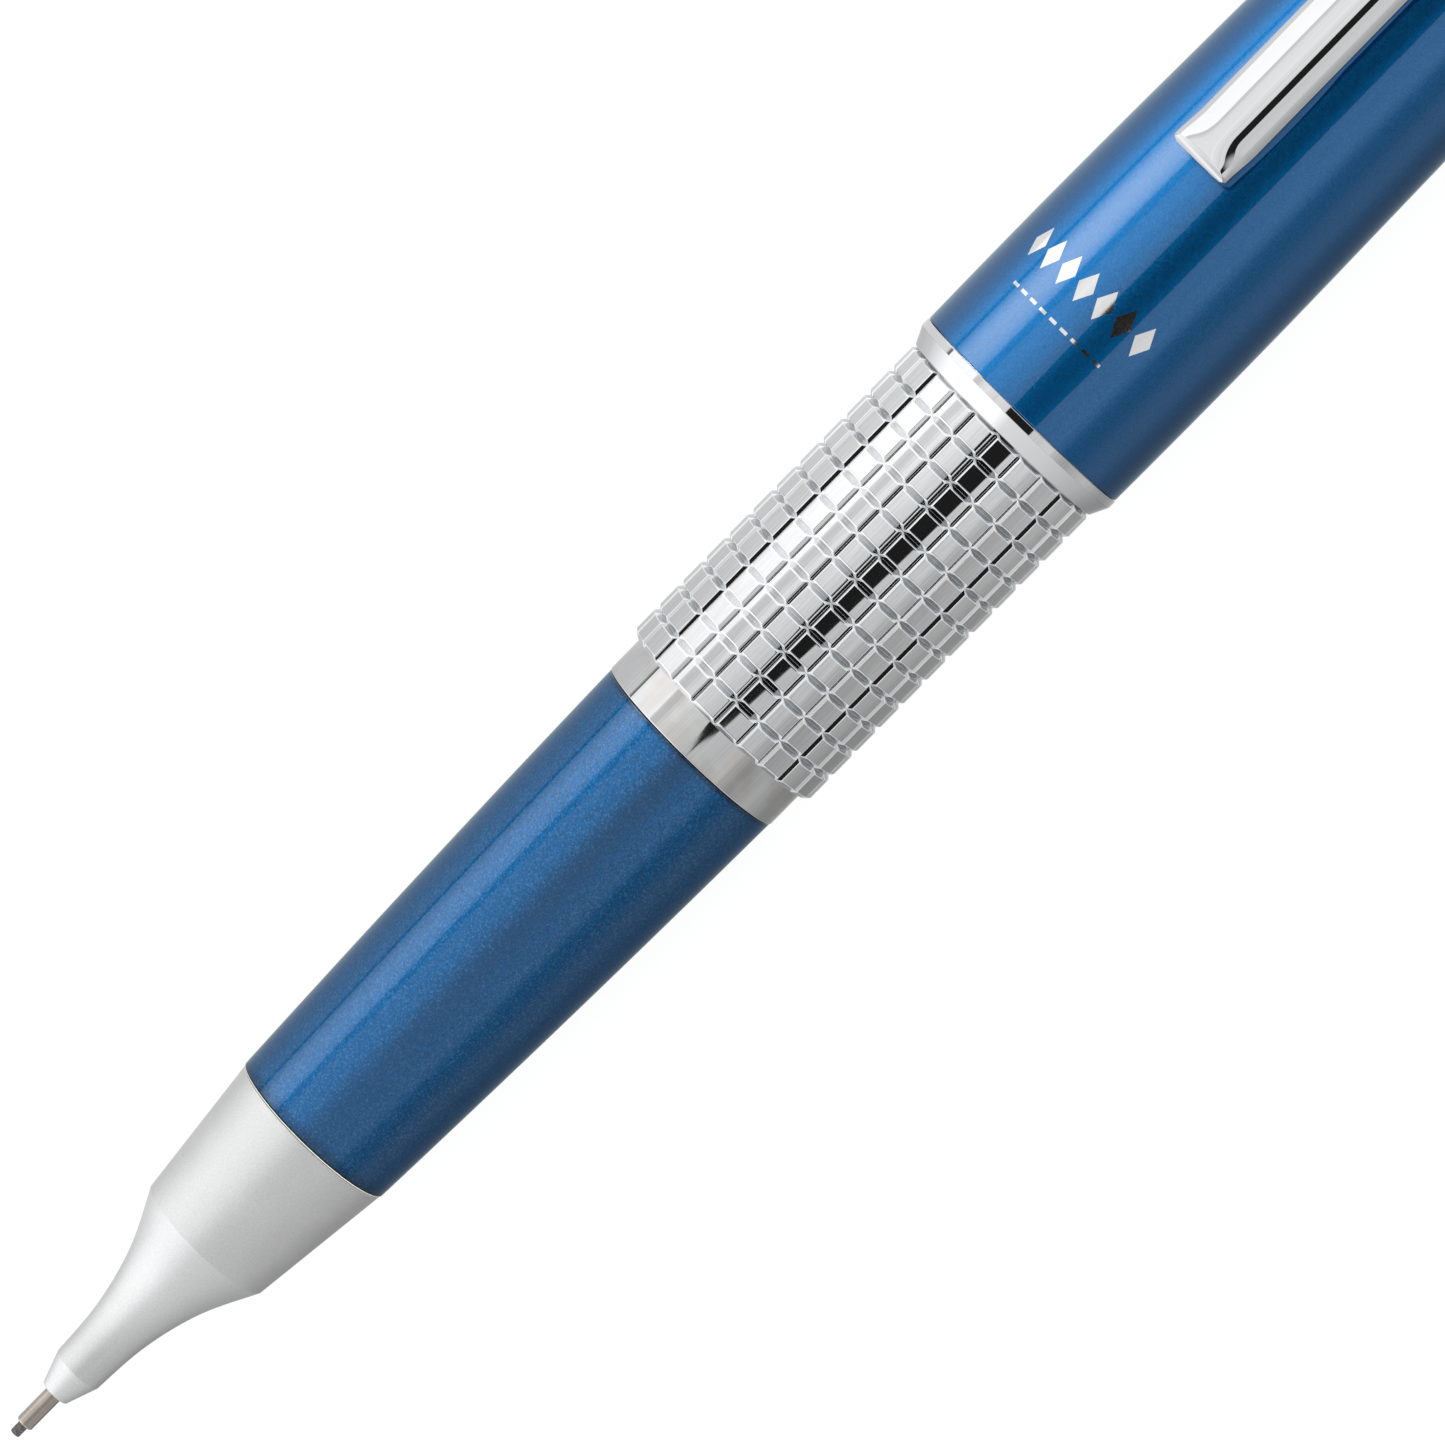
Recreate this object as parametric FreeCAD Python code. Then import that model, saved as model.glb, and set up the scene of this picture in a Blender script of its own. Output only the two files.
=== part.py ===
import FreeCAD, Part

# A capped push-button pencil for 0.5 mm leads, with its cap posted on the tail.
#
# Frame: the axis of the pencil is the X axis. X = 0 is the mouth of the lead sleeve, +X runs towards the
# tail, and the pocket clip is on the +Z side. All sizes are in millimetres.
# Names ending in _X are places along the axis, and names ending in _R are radii.
# Outlines are half sections, written as (x, r) corners and turned about the X axis.

import math
import os

# ---- play and travel ----------------------------------------------------------------------------------
GAP = 0.02                  # play between parts that are fixed to each other
RUN = 0.05                  # radial play of a running fit
KNOCK = 2.5                 # travel of the push button
RING_TRAVEL = 0.6           # the clutch ring meets its stop after this much of the travel

# ---- lead and nose ------------------------------------------------------------------------------------
LEAD_R = 0.28
LEAD_OUT = 0.70             # lead showing in front of the sleeve
LEAD_LENGTH = 60.0
SLEEVE_R = 0.48
SLEEVE_OUT = 2.27           # sleeve showing in front of the nose cone
SLEEVE_ROOT_R = 0.66
NOSE_FACE_R = 0.80          # flat front face of the nose cone
NOSE_TIP_X, NOSE_TIP_R = 3.98, 1.40        # end of the short front chamfer
NOSE_CREASE_X, NOSE_CREASE_R = 13.41, 3.875
NOSE_END_X, NOSE_END_R = 21.22, 4.745
SPIGOT_END_X, SPIGOT_R = 28.0, 3.93
RETAINER_X, RETAINER_END_X, RETAINER_R = 7.00, 8.80, 0.90

# ---- clutch -------------------------------------------------------------------------------------------
CHUCK_X, CHUCK_R = 11.50, 1.40
CHUCK_STEM_R, CHUCK_TAIL_X = 1.05, 28.00
HEAD_BORE_R = 1.50          # room for the open jaws
RING_X, RING_END_X, RING_R = 12.90, 14.60, 2.00
CONE_END_X = 14.20          # the jaws' cone starts at the ring's front face and ends here
HOUSING_X, HOUSING_R = 14.65, 2.08
HOUSING_STEP_X, HOUSING_END_X, HOUSING_REAR_R = 16.00, 27.00, 2.95
SPRING_X, SPRING_END_X, SPRING_R = 18.20, 26.00, 1.70
SPRING_WIRE_R, SPRING_TURNS = 0.15, 8
COUPLER_NOSE_R, COUPLER_R = 2.20, 2.50
COUPLER_STEP_X, COUPLER_TUBE_X, COUPLER_END_X = 29.70, 33.00, 36.00

# ---- magazine and push button -------------------------------------------------------------------------
TUBE_END_X, TUBE_R, TUBE_BORE_R = 104.00, 2.40, 2.10
SPARE_X, SPARE_LEADS, SPARE_CIRCLE_R = 37.00, 3, 1.20
FERRULE_X, FERRULE_END_X, FERRULE_BORE_R = 100.00, 106.00, 1.85
ERASER_X, ERASER_END_X = 102.00, 109.00
PIN_X, PIN_R = 86.00, 0.20
PUSH_X, PUSH_END_X, PUSH_R = 104.60, 111.00, 3.50    # head of the push button
PUSH_STEM_R = 2.90

# ---- barrel -------------------------------------------------------------------------------------------
BARREL_FRONT_R, BARREL_END_R = 4.79, 5.535
BARREL_BOW = 0.085          # how far the barrel bulges outside a straight taper
SHOULDER_X, SHOULDER_END_X, SHOULDER_R = 28.20, 29.90, 2.75
JOINT_X, JOINT_END_X = 40.00, 82.00        # tube that joins the two barrels
JOINT_R, JOINT_REAR_R, JOINT_BORE_R = 4.88, 4.40, 3.90
BAND_X = 48.55              # front of the chrome centre band
COLLAR_LENGTH, COLLAR_R = 2.17, 5.575
KNURL_X = BAND_X + COLLAR_LENGTH
KNURL_LENGTH, KNURL_R = 20.0, 6.08
KNURL_ROWS, KNURL_COLUMNS = 12, 24
KNURL_PHASE = 2.5           # degrees from +Z to the first lengthwise groove
ROW_GROOVE = 0.21           # depth of a groove around the band, cut at 90 degrees
COLUMN_GROOVE = 0.17        # depth of a groove along the band, cut at 90 degrees
REAR_BARREL_X, REAR_BARREL_R = 72.90, 5.45           # hidden by the posted cap
REAR_BARREL_BOW, REAR_BORE_R = 0.10, 3.60
TAIL_X, TAIL_R, TAIL_FLANGE = 101.50, 4.30, 0.50
TAIL_SPIGOT = 4.5           # length of the tail ring's spigot inside the rear barrel

# ---- cap ----------------------------------------------------------------------------------------------
CAP_X, CAP_MOUTH_R = 70.75, 6.05           # front edge of the cap ring
CAP_RING_CONE, CAP_RING_R, CAP_RING_END_X = 0.94, 6.505, 76.00
CAP_WALL = 0.50
CAP_OUTLINE = [(72.15, 6.462), (79.5, 6.494), (88.8, 6.398), (106.4, 6.085), (124.0, 5.700)]
LINER_X, LINER_END_X = 76.10, 92.00
LINER_R, LINER_BORE_R = 5.80, 5.50
GRIP_X, GRIP_HALF, GRIP_R = 78.5, 1.5, 5.36          # bump ring inside the liner
LINER_FINGERS = 6
SOCKET_X = 119.00           # where the clip ring's spigot starts inside the cap tube
CLIP_RING_X, CLIP_RING_END_X, CLIP_RING_R = 124.02, 126.40, 5.78
FINIAL_R, FINIAL_END_X, FINIAL_END_R = 5.60, 131.70, 4.25
FINIAL_BOW, FINIAL_SPIGOT_R = 0.22, 4.30
BUTTON_R, BUTTON_HEAD_R, BUTTON_END_X = 3.00, 3.60, 135.15
BUTTON_BORE_R, BUTTON_CROWN = 2.30, 1.20
PUSH_TUBE_R, PUSH_TUBE_BORE_R, PUSH_TUBE_SEAT_X = 4.20, 2.00, 113.60

# ---- clip ---------------------------------------------------------------------------------------------
CLIP_X, CLIP_END_X = 86.90, 126.10         # free end and root
CLIP_WIDTH = 3.60
CLIP_TOP_Z, CLIP_RISE = 8.35, 0.45         # crown height at the free end, and its rise to the root
CLIP_DEPTH = 1.45           # from the crown to the flat underside
CLIP_CROWN = 0.62           # crown height above the long edges
CLIP_EDGE = 0.30            # bevel along the long edges
CLIP_BEVEL = 0.46           # bevel across the free end
CLIP_SHOULDER = 0.90        # rounding over the root
BUMP_LENGTH, BUMP_Z = 8.0, 6.39            # contact bump under the free end
TAB_X, TAB_END_X, TAB_WIDTH, TAB_Z = 124.60, 126.08, 2.20, 4.95
TAB_TOP_Z, TAB_PLAY = 5.95, 0.12


# ---- turning and boring -------------------------------------------------------------------------------
def point(x, r):
    return FreeCAD.Vector(x, 0, r)


def line(a, b):
    return Part.makeLine(point(*a), point(*b))


def arc(a, via, b):
    return Part.Arc(point(*a), point(*via), point(*b)).toShape()


def bowed(a, b, bow):
    """An arc from a to b that stands bow outside the straight line at its middle."""
    return arc(a, ((a[0] + b[0]) / 2, (a[1] + b[1]) / 2 + bow), b)


def chain(*corners):
    """Straight edges through the corners."""
    return [line(a, b) for a, b in zip(corners, corners[1:])]


def turn(edges):
    """Turns a closed half section about the X axis."""
    face = Part.Face(Part.Wire(Part.__sortEdges__(edges)))
    return face.revolve(FreeCAD.Vector(0, 0, 0), FreeCAD.Vector(1, 0, 0), 360)


def turned(*corners):
    """A solid turned from straight edges through the corners, closed back to the first."""
    return turn(chain(*corners, corners[0]))


def rod(x0, x1, r):
    return Part.makeCylinder(r, x1 - x0, FreeCAD.Vector(x0, 0, 0), FreeCAD.Vector(1, 0, 0))


def tube(x0, x1, r_out, r_in):
    return turned((x0, r_in), (x0, r_out), (x1, r_out), (x1, r_in))


def beside(shape, y, z):
    """A copy of the shape moved sideways."""
    copy = shape.copy()
    copy.translate(FreeCAD.Vector(0, y, z))
    return copy


def spun(shape, degrees):
    """A copy of the shape turned about the X axis."""
    copy = shape.copy()
    copy.rotate(FreeCAD.Vector(0, 0, 0), FreeCAD.Vector(1, 0, 0), degrees)
    return copy


def box(x0, x1, y0, y1, z0, z1):
    return Part.makeBox(x1 - x0, y1 - y0, z1 - z0, FreeCAD.Vector(x0, y0, z0))


# ---- nose ---------------------------------------------------------------------------------------------
def lead():
    return rod(-LEAD_OUT, LEAD_LENGTH - LEAD_OUT, LEAD_R)


def lead_sleeve():
    """A thin guide tube with a thicker root held in the nose cone."""
    bore = LEAD_R + GAP
    end = RETAINER_X - GAP
    return turned((0, bore), (0, SLEEVE_R), (SLEEVE_OUT, SLEEVE_R), (SLEEVE_OUT, SLEEVE_ROOT_R),
                  (end, SLEEVE_ROOT_R), (end, bore))


def lead_retainer():
    """Rubber ring that lightly holds the lead while the chuck is open."""
    return tube(RETAINER_X, RETAINER_END_X, RETAINER_R, LEAD_R + GAP / 2)


def nose_cone():
    """Short chamfer, hollow flare, crease, a cone up to the barrel, and a threaded spigot drawn plain."""
    flare = Part.BSplineCurve()
    flare.interpolate(
        Points=[point(NOSE_TIP_X, NOSE_TIP_R), point(7.30, 1.665), point(10.40, 2.455),
                point(NOSE_CREASE_X, NOSE_CREASE_R)],
        InitialTangent=FreeCAD.Vector(1, 0, 0.045), FinalTangent=FreeCAD.Vector(1, 0, 0.50))
    root = SLEEVE_ROOT_R + GAP
    pocket = RETAINER_R + GAP
    pocket_end = RETAINER_END_X + RUN
    stop_x = RING_X - RING_TRAVEL - GAP
    ring_bore = RING_R + 2 * RUN
    housing_bore = HOUSING_REAR_R + RUN
    outside = chain((SLEEVE_OUT, root), (SLEEVE_OUT, NOSE_FACE_R), (NOSE_TIP_X, NOSE_TIP_R))
    rear = chain((NOSE_CREASE_X, NOSE_CREASE_R), (NOSE_END_X, NOSE_END_R), (NOSE_END_X, SPIGOT_R),
                 (SPIGOT_END_X, SPIGOT_R))
    inside = chain((SPIGOT_END_X, SPIGOT_R), (SPIGOT_END_X, housing_bore), (HOUSING_STEP_X, housing_bore),
                   (HOUSING_STEP_X, ring_bore), (stop_x, ring_bore), (stop_x, HEAD_BORE_R),
                   (pocket_end, HEAD_BORE_R), (pocket_end, pocket), (RETAINER_X, pocket),
                   (RETAINER_X, root), (SLEEVE_OUT, root))
    return turn(outside + [flare.toShape()] + rear + inside)


# ---- clutch -------------------------------------------------------------------------------------------
def chuck():
    """One brass piece whose head is slit into three jaws."""
    grip = LEAD_R + GAP / 2
    channel, edge = 0.50, 0.20
    body = turned((CHUCK_X, grip), (CHUCK_X, CHUCK_R - edge), (CHUCK_X + edge, CHUCK_R),
                  (RING_X, CHUCK_R), (CONE_END_X, CHUCK_STEM_R), (CHUCK_TAIL_X, CHUCK_STEM_R),
                  (CHUCK_TAIL_X, channel), (CHUCK_X + 3.0, channel), (CHUCK_X + 2.5, grip))
    slit = box(CHUCK_X - 1, CHUCK_X + 8.5, -0.12, 0.12, 0, CHUCK_R + 1)
    return body.cut([spun(slit, 90 + 120 * k) for k in range(3)])


def clutch_ring():
    """The ring that squeezes the jaws shut when the spring pulls the chuck back into it."""
    stem = CHUCK_STEM_R + GAP
    return turned((RING_X, CHUCK_R + GAP), (RING_X, RING_R), (RING_END_X, RING_R), (RING_END_X, stem),
                  (CONE_END_X, stem))


def clutch_housing():
    """Stops the ring from behind and seats the spring."""
    neck, bore = CHUCK_STEM_R + 3 * RUN, COUPLER_NOSE_R + 2 * RUN
    step = HOUSING_STEP_X + GAP
    return turned((HOUSING_X, neck), (HOUSING_X, HOUSING_R), (step, HOUSING_R), (step, HOUSING_REAR_R),
                  (HOUSING_END_X, HOUSING_REAR_R), (HOUSING_END_X, bore), (SPRING_X, bore),
                  (SPRING_X, neck))


def return_spring():
    """Open coil around the chuck's stem, between the housing and the coupler."""
    height = SPRING_END_X - SPRING_X - 2 * (SPRING_WIRE_R + GAP)
    pitch = height / SPRING_TURNS
    helix = Part.makeHelix(pitch, height, SPRING_R)
    start = FreeCAD.Vector(SPRING_R, 0, 0)
    along = FreeCAD.Vector(0, 2 * math.pi * SPRING_R, pitch)
    section = Part.Wire([Part.makeCircle(SPRING_WIRE_R, start, along)])
    spring = Part.Wire(helix).makePipeShell([section], True, True)
    spring.rotate(FreeCAD.Vector(0, 0, 0), FreeCAD.Vector(0, 1, 0), 90)
    spring.translate(FreeCAD.Vector(SPRING_X + SPRING_WIRE_R + GAP, 0, 0))
    return spring


def chuck_coupler():
    """Joins the chuck to the lead magazine, with a funnel that drops one lead into the chuck."""
    socket, throat, mouth = CHUCK_STEM_R + GAP, 0.50, 1.80
    socket_end, seat = CHUCK_TAIL_X + GAP, COUPLER_TUBE_X - GAP
    plug = TUBE_BORE_R - GAP
    return turned((SPRING_END_X, socket), (SPRING_END_X, COUPLER_NOSE_R), (COUPLER_STEP_X, COUPLER_NOSE_R),
                  (COUPLER_STEP_X, COUPLER_R), (seat, COUPLER_R), (seat, plug), (COUPLER_END_X, plug),
                  (COUPLER_END_X, mouth), (COUPLER_TUBE_X, throat), (socket_end, throat),
                  (socket_end, socket))


# ---- magazine and push button -------------------------------------------------------------------------
def lead_tube():
    return tube(COUPLER_TUBE_X, TUBE_END_X, TUBE_R, TUBE_BORE_R)


def spare_leads():
    spare = rod(SPARE_X, SPARE_X + LEAD_LENGTH, LEAD_R)
    angles = [2 * math.pi * k / SPARE_LEADS for k in range(SPARE_LEADS)]
    return Part.makeCompound([beside(spare, SPARE_CIRCLE_R * math.sin(a), SPARE_CIRCLE_R * math.cos(a))
                              for a in angles])


def eraser_ferrule():
    """Thin metal cup plugged into the end of the magazine, holding the eraser."""
    flange_x, flange_end = TUBE_END_X + GAP, TUBE_END_X + GAP + 0.5
    plug = TUBE_BORE_R - GAP
    return turned((FERRULE_X, FERRULE_BORE_R), (FERRULE_X, plug), (flange_x, plug), (flange_x, TUBE_R),
                  (flange_end, TUBE_R), (flange_end, TUBE_BORE_R), (FERRULE_END_X, TUBE_BORE_R),
                  (FERRULE_END_X, FERRULE_BORE_R))


def eraser():
    """Round stick with a softened end, drilled for the cleaning pin."""
    r, hole, hole_end = FERRULE_BORE_R - GAP, PIN_R + GAP, ERASER_X + 2
    edge, sag = 0.5, 0.15
    start, end = (ERASER_END_X - edge, r), (ERASER_END_X, r - edge)
    shoulder = arc(start, (ERASER_END_X - sag, r - sag), end)
    sides = chain(end, (ERASER_END_X, 0), (hole_end, 0), (hole_end, hole), (ERASER_X, hole), (ERASER_X, r),
                  start)
    return turn([shoulder] + sides)


def cleaning_pin():
    """Fine wire on the eraser's hidden end, for clearing a jammed lead."""
    return rod(PIN_X, ERASER_X + 2 - GAP, PIN_R)


def knock_button():
    """Cap over the eraser that the thumb presses when the pencil's own cap is off."""
    bore, stem_x = TUBE_R + GAP, TAIL_X - TAIL_SPIGOT
    end, edge, small, roof = PUSH_END_X, 0.45, 0.15, 1.2
    return turned((stem_x, bore), (stem_x, PUSH_STEM_R), (PUSH_X, PUSH_STEM_R), (PUSH_X, PUSH_R - small),
                  (PUSH_X + small, PUSH_R), (end - edge, PUSH_R), (end, PUSH_R - edge), (end, 0),
                  (end - roof, 0), (end - roof, bore))


# ---- barrel -------------------------------------------------------------------------------------------
def front_barrel():
    """Lacquered sleeve from the nose cone to the centre band."""
    x0, x1 = NOSE_END_X + GAP, BAND_X - GAP
    joint_x, joint_bore = JOINT_X - GAP, JOINT_R + GAP
    room, spigot_bore = 4.0, SPIGOT_R + GAP
    outside = bowed((x0, BARREL_FRONT_R), (x1, BARREL_END_R), BARREL_BOW)
    inside = chain((x1, BARREL_END_R), (x1, joint_bore), (joint_x, joint_bore), (joint_x, room),
                   (SHOULDER_END_X, room), (SHOULDER_END_X, SHOULDER_R), (SHOULDER_X, SHOULDER_R),
                   (SHOULDER_X, spigot_bore), (x0, spigot_bore), (x0, BARREL_FRONT_R))
    return turn([outside] + inside)


def centre_joint():
    """Tube inside the centre band that joins the front and rear barrels."""
    step = REAR_BARREL_X - GAP
    return turned((JOINT_X, JOINT_BORE_R), (JOINT_X, JOINT_R), (step, JOINT_R), (step, JOINT_REAR_R),
                  (JOINT_END_X, JOINT_REAR_R), (JOINT_END_X, JOINT_BORE_R))


def notched_disc():
    """The band's cross section: a circle broken by 90 degree grooves."""
    def at(angle, r):
        return FreeCAD.Vector(KNURL_X, -r * math.sin(angle), r * math.cos(angle))

    half = COLUMN_GROOVE / KNURL_R
    pitch = 2 * math.pi / KNURL_COLUMNS
    edges = []
    for k in range(KNURL_COLUMNS):
        groove = math.radians(KNURL_PHASE) + k * pitch
        bottom = at(groove, KNURL_R - COLUMN_GROOVE)
        start, end = at(groove + half, KNURL_R), at(groove + pitch - half, KNURL_R)
        edges.append(Part.makeLine(at(groove - half, KNURL_R), bottom))
        edges.append(Part.makeLine(bottom, start))
        edges.append(Part.Arc(start, at(groove + pitch / 2, KNURL_R), end).toShape())
    return Part.Face(Part.Wire(Part.__sortEdges__(edges)))


def centre_band():
    """Chrome band: a plain collar each side of rows of small square pads."""
    knurl = notched_disc().extrude(FreeCAD.Vector(KNURL_LENGTH, 0, 0))
    pitch = KNURL_LENGTH / KNURL_ROWS
    proud = 0.1
    top, half = KNURL_R + proud, ROW_GROOVE + proud
    rows = [KNURL_X + k * pitch for k in range(KNURL_ROWS + 1)]
    grooves = [turned((x - half, top), (x + half, top), (x, top - half)) for x in rows]
    collar = rod(BAND_X, REAR_BARREL_X - GAP, COLLAR_R)
    bore = rod(BAND_X - 1, REAR_BARREL_X + 1, JOINT_R + GAP)
    return knurl.cut(grooves).fuse(collar).cut(bore)


def rear_barrel():
    """Lacquered sleeve that the cap slides over."""
    x0, x1 = REAR_BARREL_X, TAIL_X - GAP
    joint_end, joint_bore = JOINT_END_X + GAP, JOINT_REAR_R + GAP
    outside = bowed((x0, REAR_BARREL_R), (x1, TAIL_R), REAR_BARREL_BOW)
    inside = chain((x1, TAIL_R), (x1, REAR_BORE_R), (joint_end, REAR_BORE_R), (joint_end, joint_bore),
                   (x0, joint_bore), (x0, REAR_BARREL_R))
    return turn([outside] + inside)


def tail_ring():
    """Bush in the tail that guides the push button."""
    x0, end, edge = TAIL_X - TAIL_SPIGOT, TAIL_X + TAIL_FLANGE, 0.15
    bore, spigot = PUSH_STEM_R + RUN, REAR_BORE_R - GAP
    return turned((x0, bore), (x0, spigot), (TAIL_X, spigot), (TAIL_X, TAIL_R), (end - edge, TAIL_R),
                  (end, TAIL_R - edge), (end, bore))


# ---- cap ----------------------------------------------------------------------------------------------
def cap_ring():
    """Bevelled chrome ring around the cap's mouth, with a spigot inside the cap tube."""
    tube_x, tube_r = CAP_OUTLINE[0]
    bore, spigot = COLLAR_R + RUN, tube_r - CAP_WALL - GAP
    cone_end, step = CAP_X + CAP_RING_CONE, tube_x - GAP
    return turned((CAP_X, bore), (CAP_X, CAP_MOUTH_R), (cone_end, CAP_RING_R), (step, CAP_RING_R),
                  (step, spigot), (CAP_RING_END_X, spigot), (CAP_RING_END_X, bore))


def cap_tube():
    """Lacquered tube, widest near its mouth, with an even wall."""
    def skin(outline):
        mouth, wide, knee, middle, end = outline
        return [arc(mouth, wide, knee), arc(knee, middle, end)]

    inner = [(x, r - CAP_WALL) for x, r in CAP_OUTLINE]
    ends = [line(CAP_OUTLINE[0], inner[0]), line(CAP_OUTLINE[-1], inner[-1])]
    return turn(skin(CAP_OUTLINE) + skin(inner) + ends)


def cap_liner():
    """Springy plastic sleeve in the cap, slit into fingers, with a bump ring that grips the barrel."""
    start, end = (GRIP_X - GRIP_HALF, LINER_BORE_R), (GRIP_X + GRIP_HALF, LINER_BORE_R)
    bump = arc(start, (GRIP_X, GRIP_R), end)
    sides = chain(end, (LINER_END_X, LINER_BORE_R), (LINER_END_X, LINER_R), (LINER_X, LINER_R),
                  (LINER_X, LINER_BORE_R), start)
    half_slit, solid_end = 0.4, 6.0
    slit = box(LINER_X + solid_end, LINER_END_X + 1, -half_slit, half_slit, LINER_BORE_R - 1, LINER_R + 1)
    slits = [spun(slit, 360 * (k + 0.5) / LINER_FINGERS) for k in range(LINER_FINGERS)]
    return turn([bump] + sides).cut(slits)


def clip_ring():
    """Chrome ring at the end of the cap, slotted for the clip's tab."""
    x0, x1, edge = CLIP_RING_X, CLIP_RING_END_X, 0.12
    bore, spigot = FINIAL_SPIGOT_R + GAP, CAP_OUTLINE[-1][1] - CAP_WALL - GAP
    ring = turned((SOCKET_X, bore), (SOCKET_X, spigot), (x0, spigot), (x0, CLIP_RING_R - edge),
                  (x0 + edge, CLIP_RING_R), (x1 - edge, CLIP_RING_R), (x1, CLIP_RING_R - edge), (x1, bore))
    half = TAB_WIDTH / 2 + TAB_PLAY
    slot = box(TAB_X - TAB_PLAY, TAB_END_X + TAB_PLAY, -half, half, TAB_Z - TAB_PLAY, CLIP_RING_R + 1)
    return ring.cut(slot)


def cap_finial():
    """Tapered end of the cap, bored for the cap button."""
    x0, x1, edge = CLIP_RING_END_X + GAP, FINIAL_END_X, 0.30
    spigot_x, bore = SOCKET_X + 2, BUTTON_R + RUN
    start, end = (x0, FINIAL_R), (x1 - edge, FINIAL_END_R)
    sides = chain(end, (x1, FINIAL_END_R - edge), (x1, bore), (spigot_x, bore),
                  (spigot_x, FINIAL_SPIGOT_R), (x0, FINIAL_SPIGOT_R), start)
    return turn([bowed(start, end, FINIAL_BOW)] + sides)


def cap_button():
    """Button at the very end: it passes the thumb's push through the cap to the push tube."""
    x0, end, edge, small = PUSH_TUBE_SEAT_X, BUTTON_END_X, 0.25, 0.10
    head_x = FINIAL_END_X + KNOCK + 4 * GAP
    roof = BUTTON_END_X - BUTTON_CROWN
    return turned((x0, BUTTON_BORE_R), (x0, BUTTON_R), (head_x, BUTTON_R), (head_x, BUTTON_HEAD_R - small),
                  (head_x + small, BUTTON_HEAD_R), (end - edge, BUTTON_HEAD_R),
                  (end, BUTTON_HEAD_R - edge), (end, 0), (roof, 0), (roof, BUTTON_BORE_R))


def push_tube():
    """Plastic tube inside the cap between the cap button and the pencil's own push button."""
    x0, x1, seat = PUSH_END_X + RUN, SOCKET_X - GAP, PUSH_TUBE_SEAT_X - GAP
    bore = BUTTON_R + GAP
    return turned((x0, PUSH_TUBE_BORE_R), (x0, PUSH_TUBE_R), (x1, PUSH_TUBE_R), (x1, bore), (seat, bore),
                  (seat, PUSH_TUBE_BORE_R))


# ---- clip ---------------------------------------------------------------------------------------------
def closed_face(edges):
    return Part.Face(Part.Wire(Part.__sortEdges__(edges)))


def clip_crown_z(x):
    return CLIP_TOP_Z + CLIP_RISE * (x - CLIP_X) / (CLIP_END_X - CLIP_X)


def clip_side():
    """The clip seen from the side: arm, contact bump under the free end, and the tab at the root."""
    def edges_through(*corners):
        vectors = [point(x, z) for x, z in corners]
        return [Part.makeLine(a, b) for a, b in zip(vectors, vectors[1:])]

    def under(x):
        return x, clip_crown_z(x) - CLIP_DEPTH

    sag = 0.29 * CLIP_SHOULDER
    top_end = (CLIP_END_X - CLIP_SHOULDER, clip_crown_z(CLIP_END_X))
    shoulder_mid = (CLIP_END_X - sag, clip_crown_z(CLIP_END_X) - sag)
    shoulder_end = (CLIP_END_X, clip_crown_z(CLIP_END_X) - CLIP_SHOULDER)
    bump_x = CLIP_X + 0.3
    bump_end_x = CLIP_X + BUMP_LENGTH
    tip = edges_through((bump_x, under(CLIP_X)[1]), under(CLIP_X), (CLIP_X, CLIP_TOP_Z - CLIP_BEVEL),
                        (CLIP_X + CLIP_BEVEL, CLIP_TOP_Z), top_end)
    shoulder = arc(top_end, shoulder_mid, shoulder_end)
    root = edges_through(shoulder_end, (TAB_END_X, TAB_Z), (TAB_X, TAB_Z), under(TAB_X), under(bump_end_x))
    bump = arc(under(bump_end_x), ((bump_x + bump_end_x) / 2, BUMP_Z), (bump_x, under(CLIP_X)[1]))
    return closed_face(tip + [shoulder] + root + [bump])


def clip_section():
    """The clip cut across at its free end: a low crown between bevelled edges."""
    def yz(y, z):
        return FreeCAD.Vector(CLIP_X - 1, y, z)

    half, side = CLIP_WIDTH / 2, CLIP_TOP_Z - CLIP_CROWN
    edge = half - CLIP_EDGE
    crown = Part.Arc(yz(-edge, side), yz(0, CLIP_TOP_Z), yz(edge, side)).toShape()
    corners = [yz(edge, side), yz(half, side - CLIP_EDGE), yz(half, 0), yz(-half, 0),
               yz(-half, side - CLIP_EDGE), yz(-edge, side)]
    return closed_face([crown] + [Part.makeLine(a, b) for a, b in zip(corners, corners[1:])])


def clip():
    """Sprung bar with a crowned top and bevelled edges, and a narrow tab at its root."""
    plate = clip_side()
    plate.translate(FreeCAD.Vector(0, -CLIP_WIDTH, 0))
    plate = plate.extrude(FreeCAD.Vector(0, 2 * CLIP_WIDTH, 0))
    length = CLIP_END_X - CLIP_X + 2
    bar = clip_section().extrude(FreeCAD.Vector(length, 0, clip_crown_z(CLIP_X + length) - CLIP_TOP_Z))
    cheek = box(TAB_X - 1, CLIP_END_X + 1, TAB_WIDTH / 2, CLIP_WIDTH, 0, TAB_TOP_Z)
    far_cheek = beside(cheek, -CLIP_WIDTH - TAB_WIDTH / 2, 0)
    return plate.common(bar).cut([cheek, far_cheek])


# ---- all parts ----------------------------------------------------------------------------------------
PARTS = [lead, lead_sleeve, lead_retainer, nose_cone, chuck, clutch_ring, clutch_housing, return_spring,
         chuck_coupler, lead_tube, spare_leads, eraser_ferrule, eraser, cleaning_pin, knock_button,
         front_barrel, centre_joint, centre_band, rear_barrel, tail_ring, cap_ring, cap_tube, cap_liner,
         clip_ring, cap_finial, cap_button, push_tube, clip]

os.makedirs("parts", exist_ok=True)
for make in PARTS:
    make().exportStep(os.path.join("parts", make.__name__ + ".step"))
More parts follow.
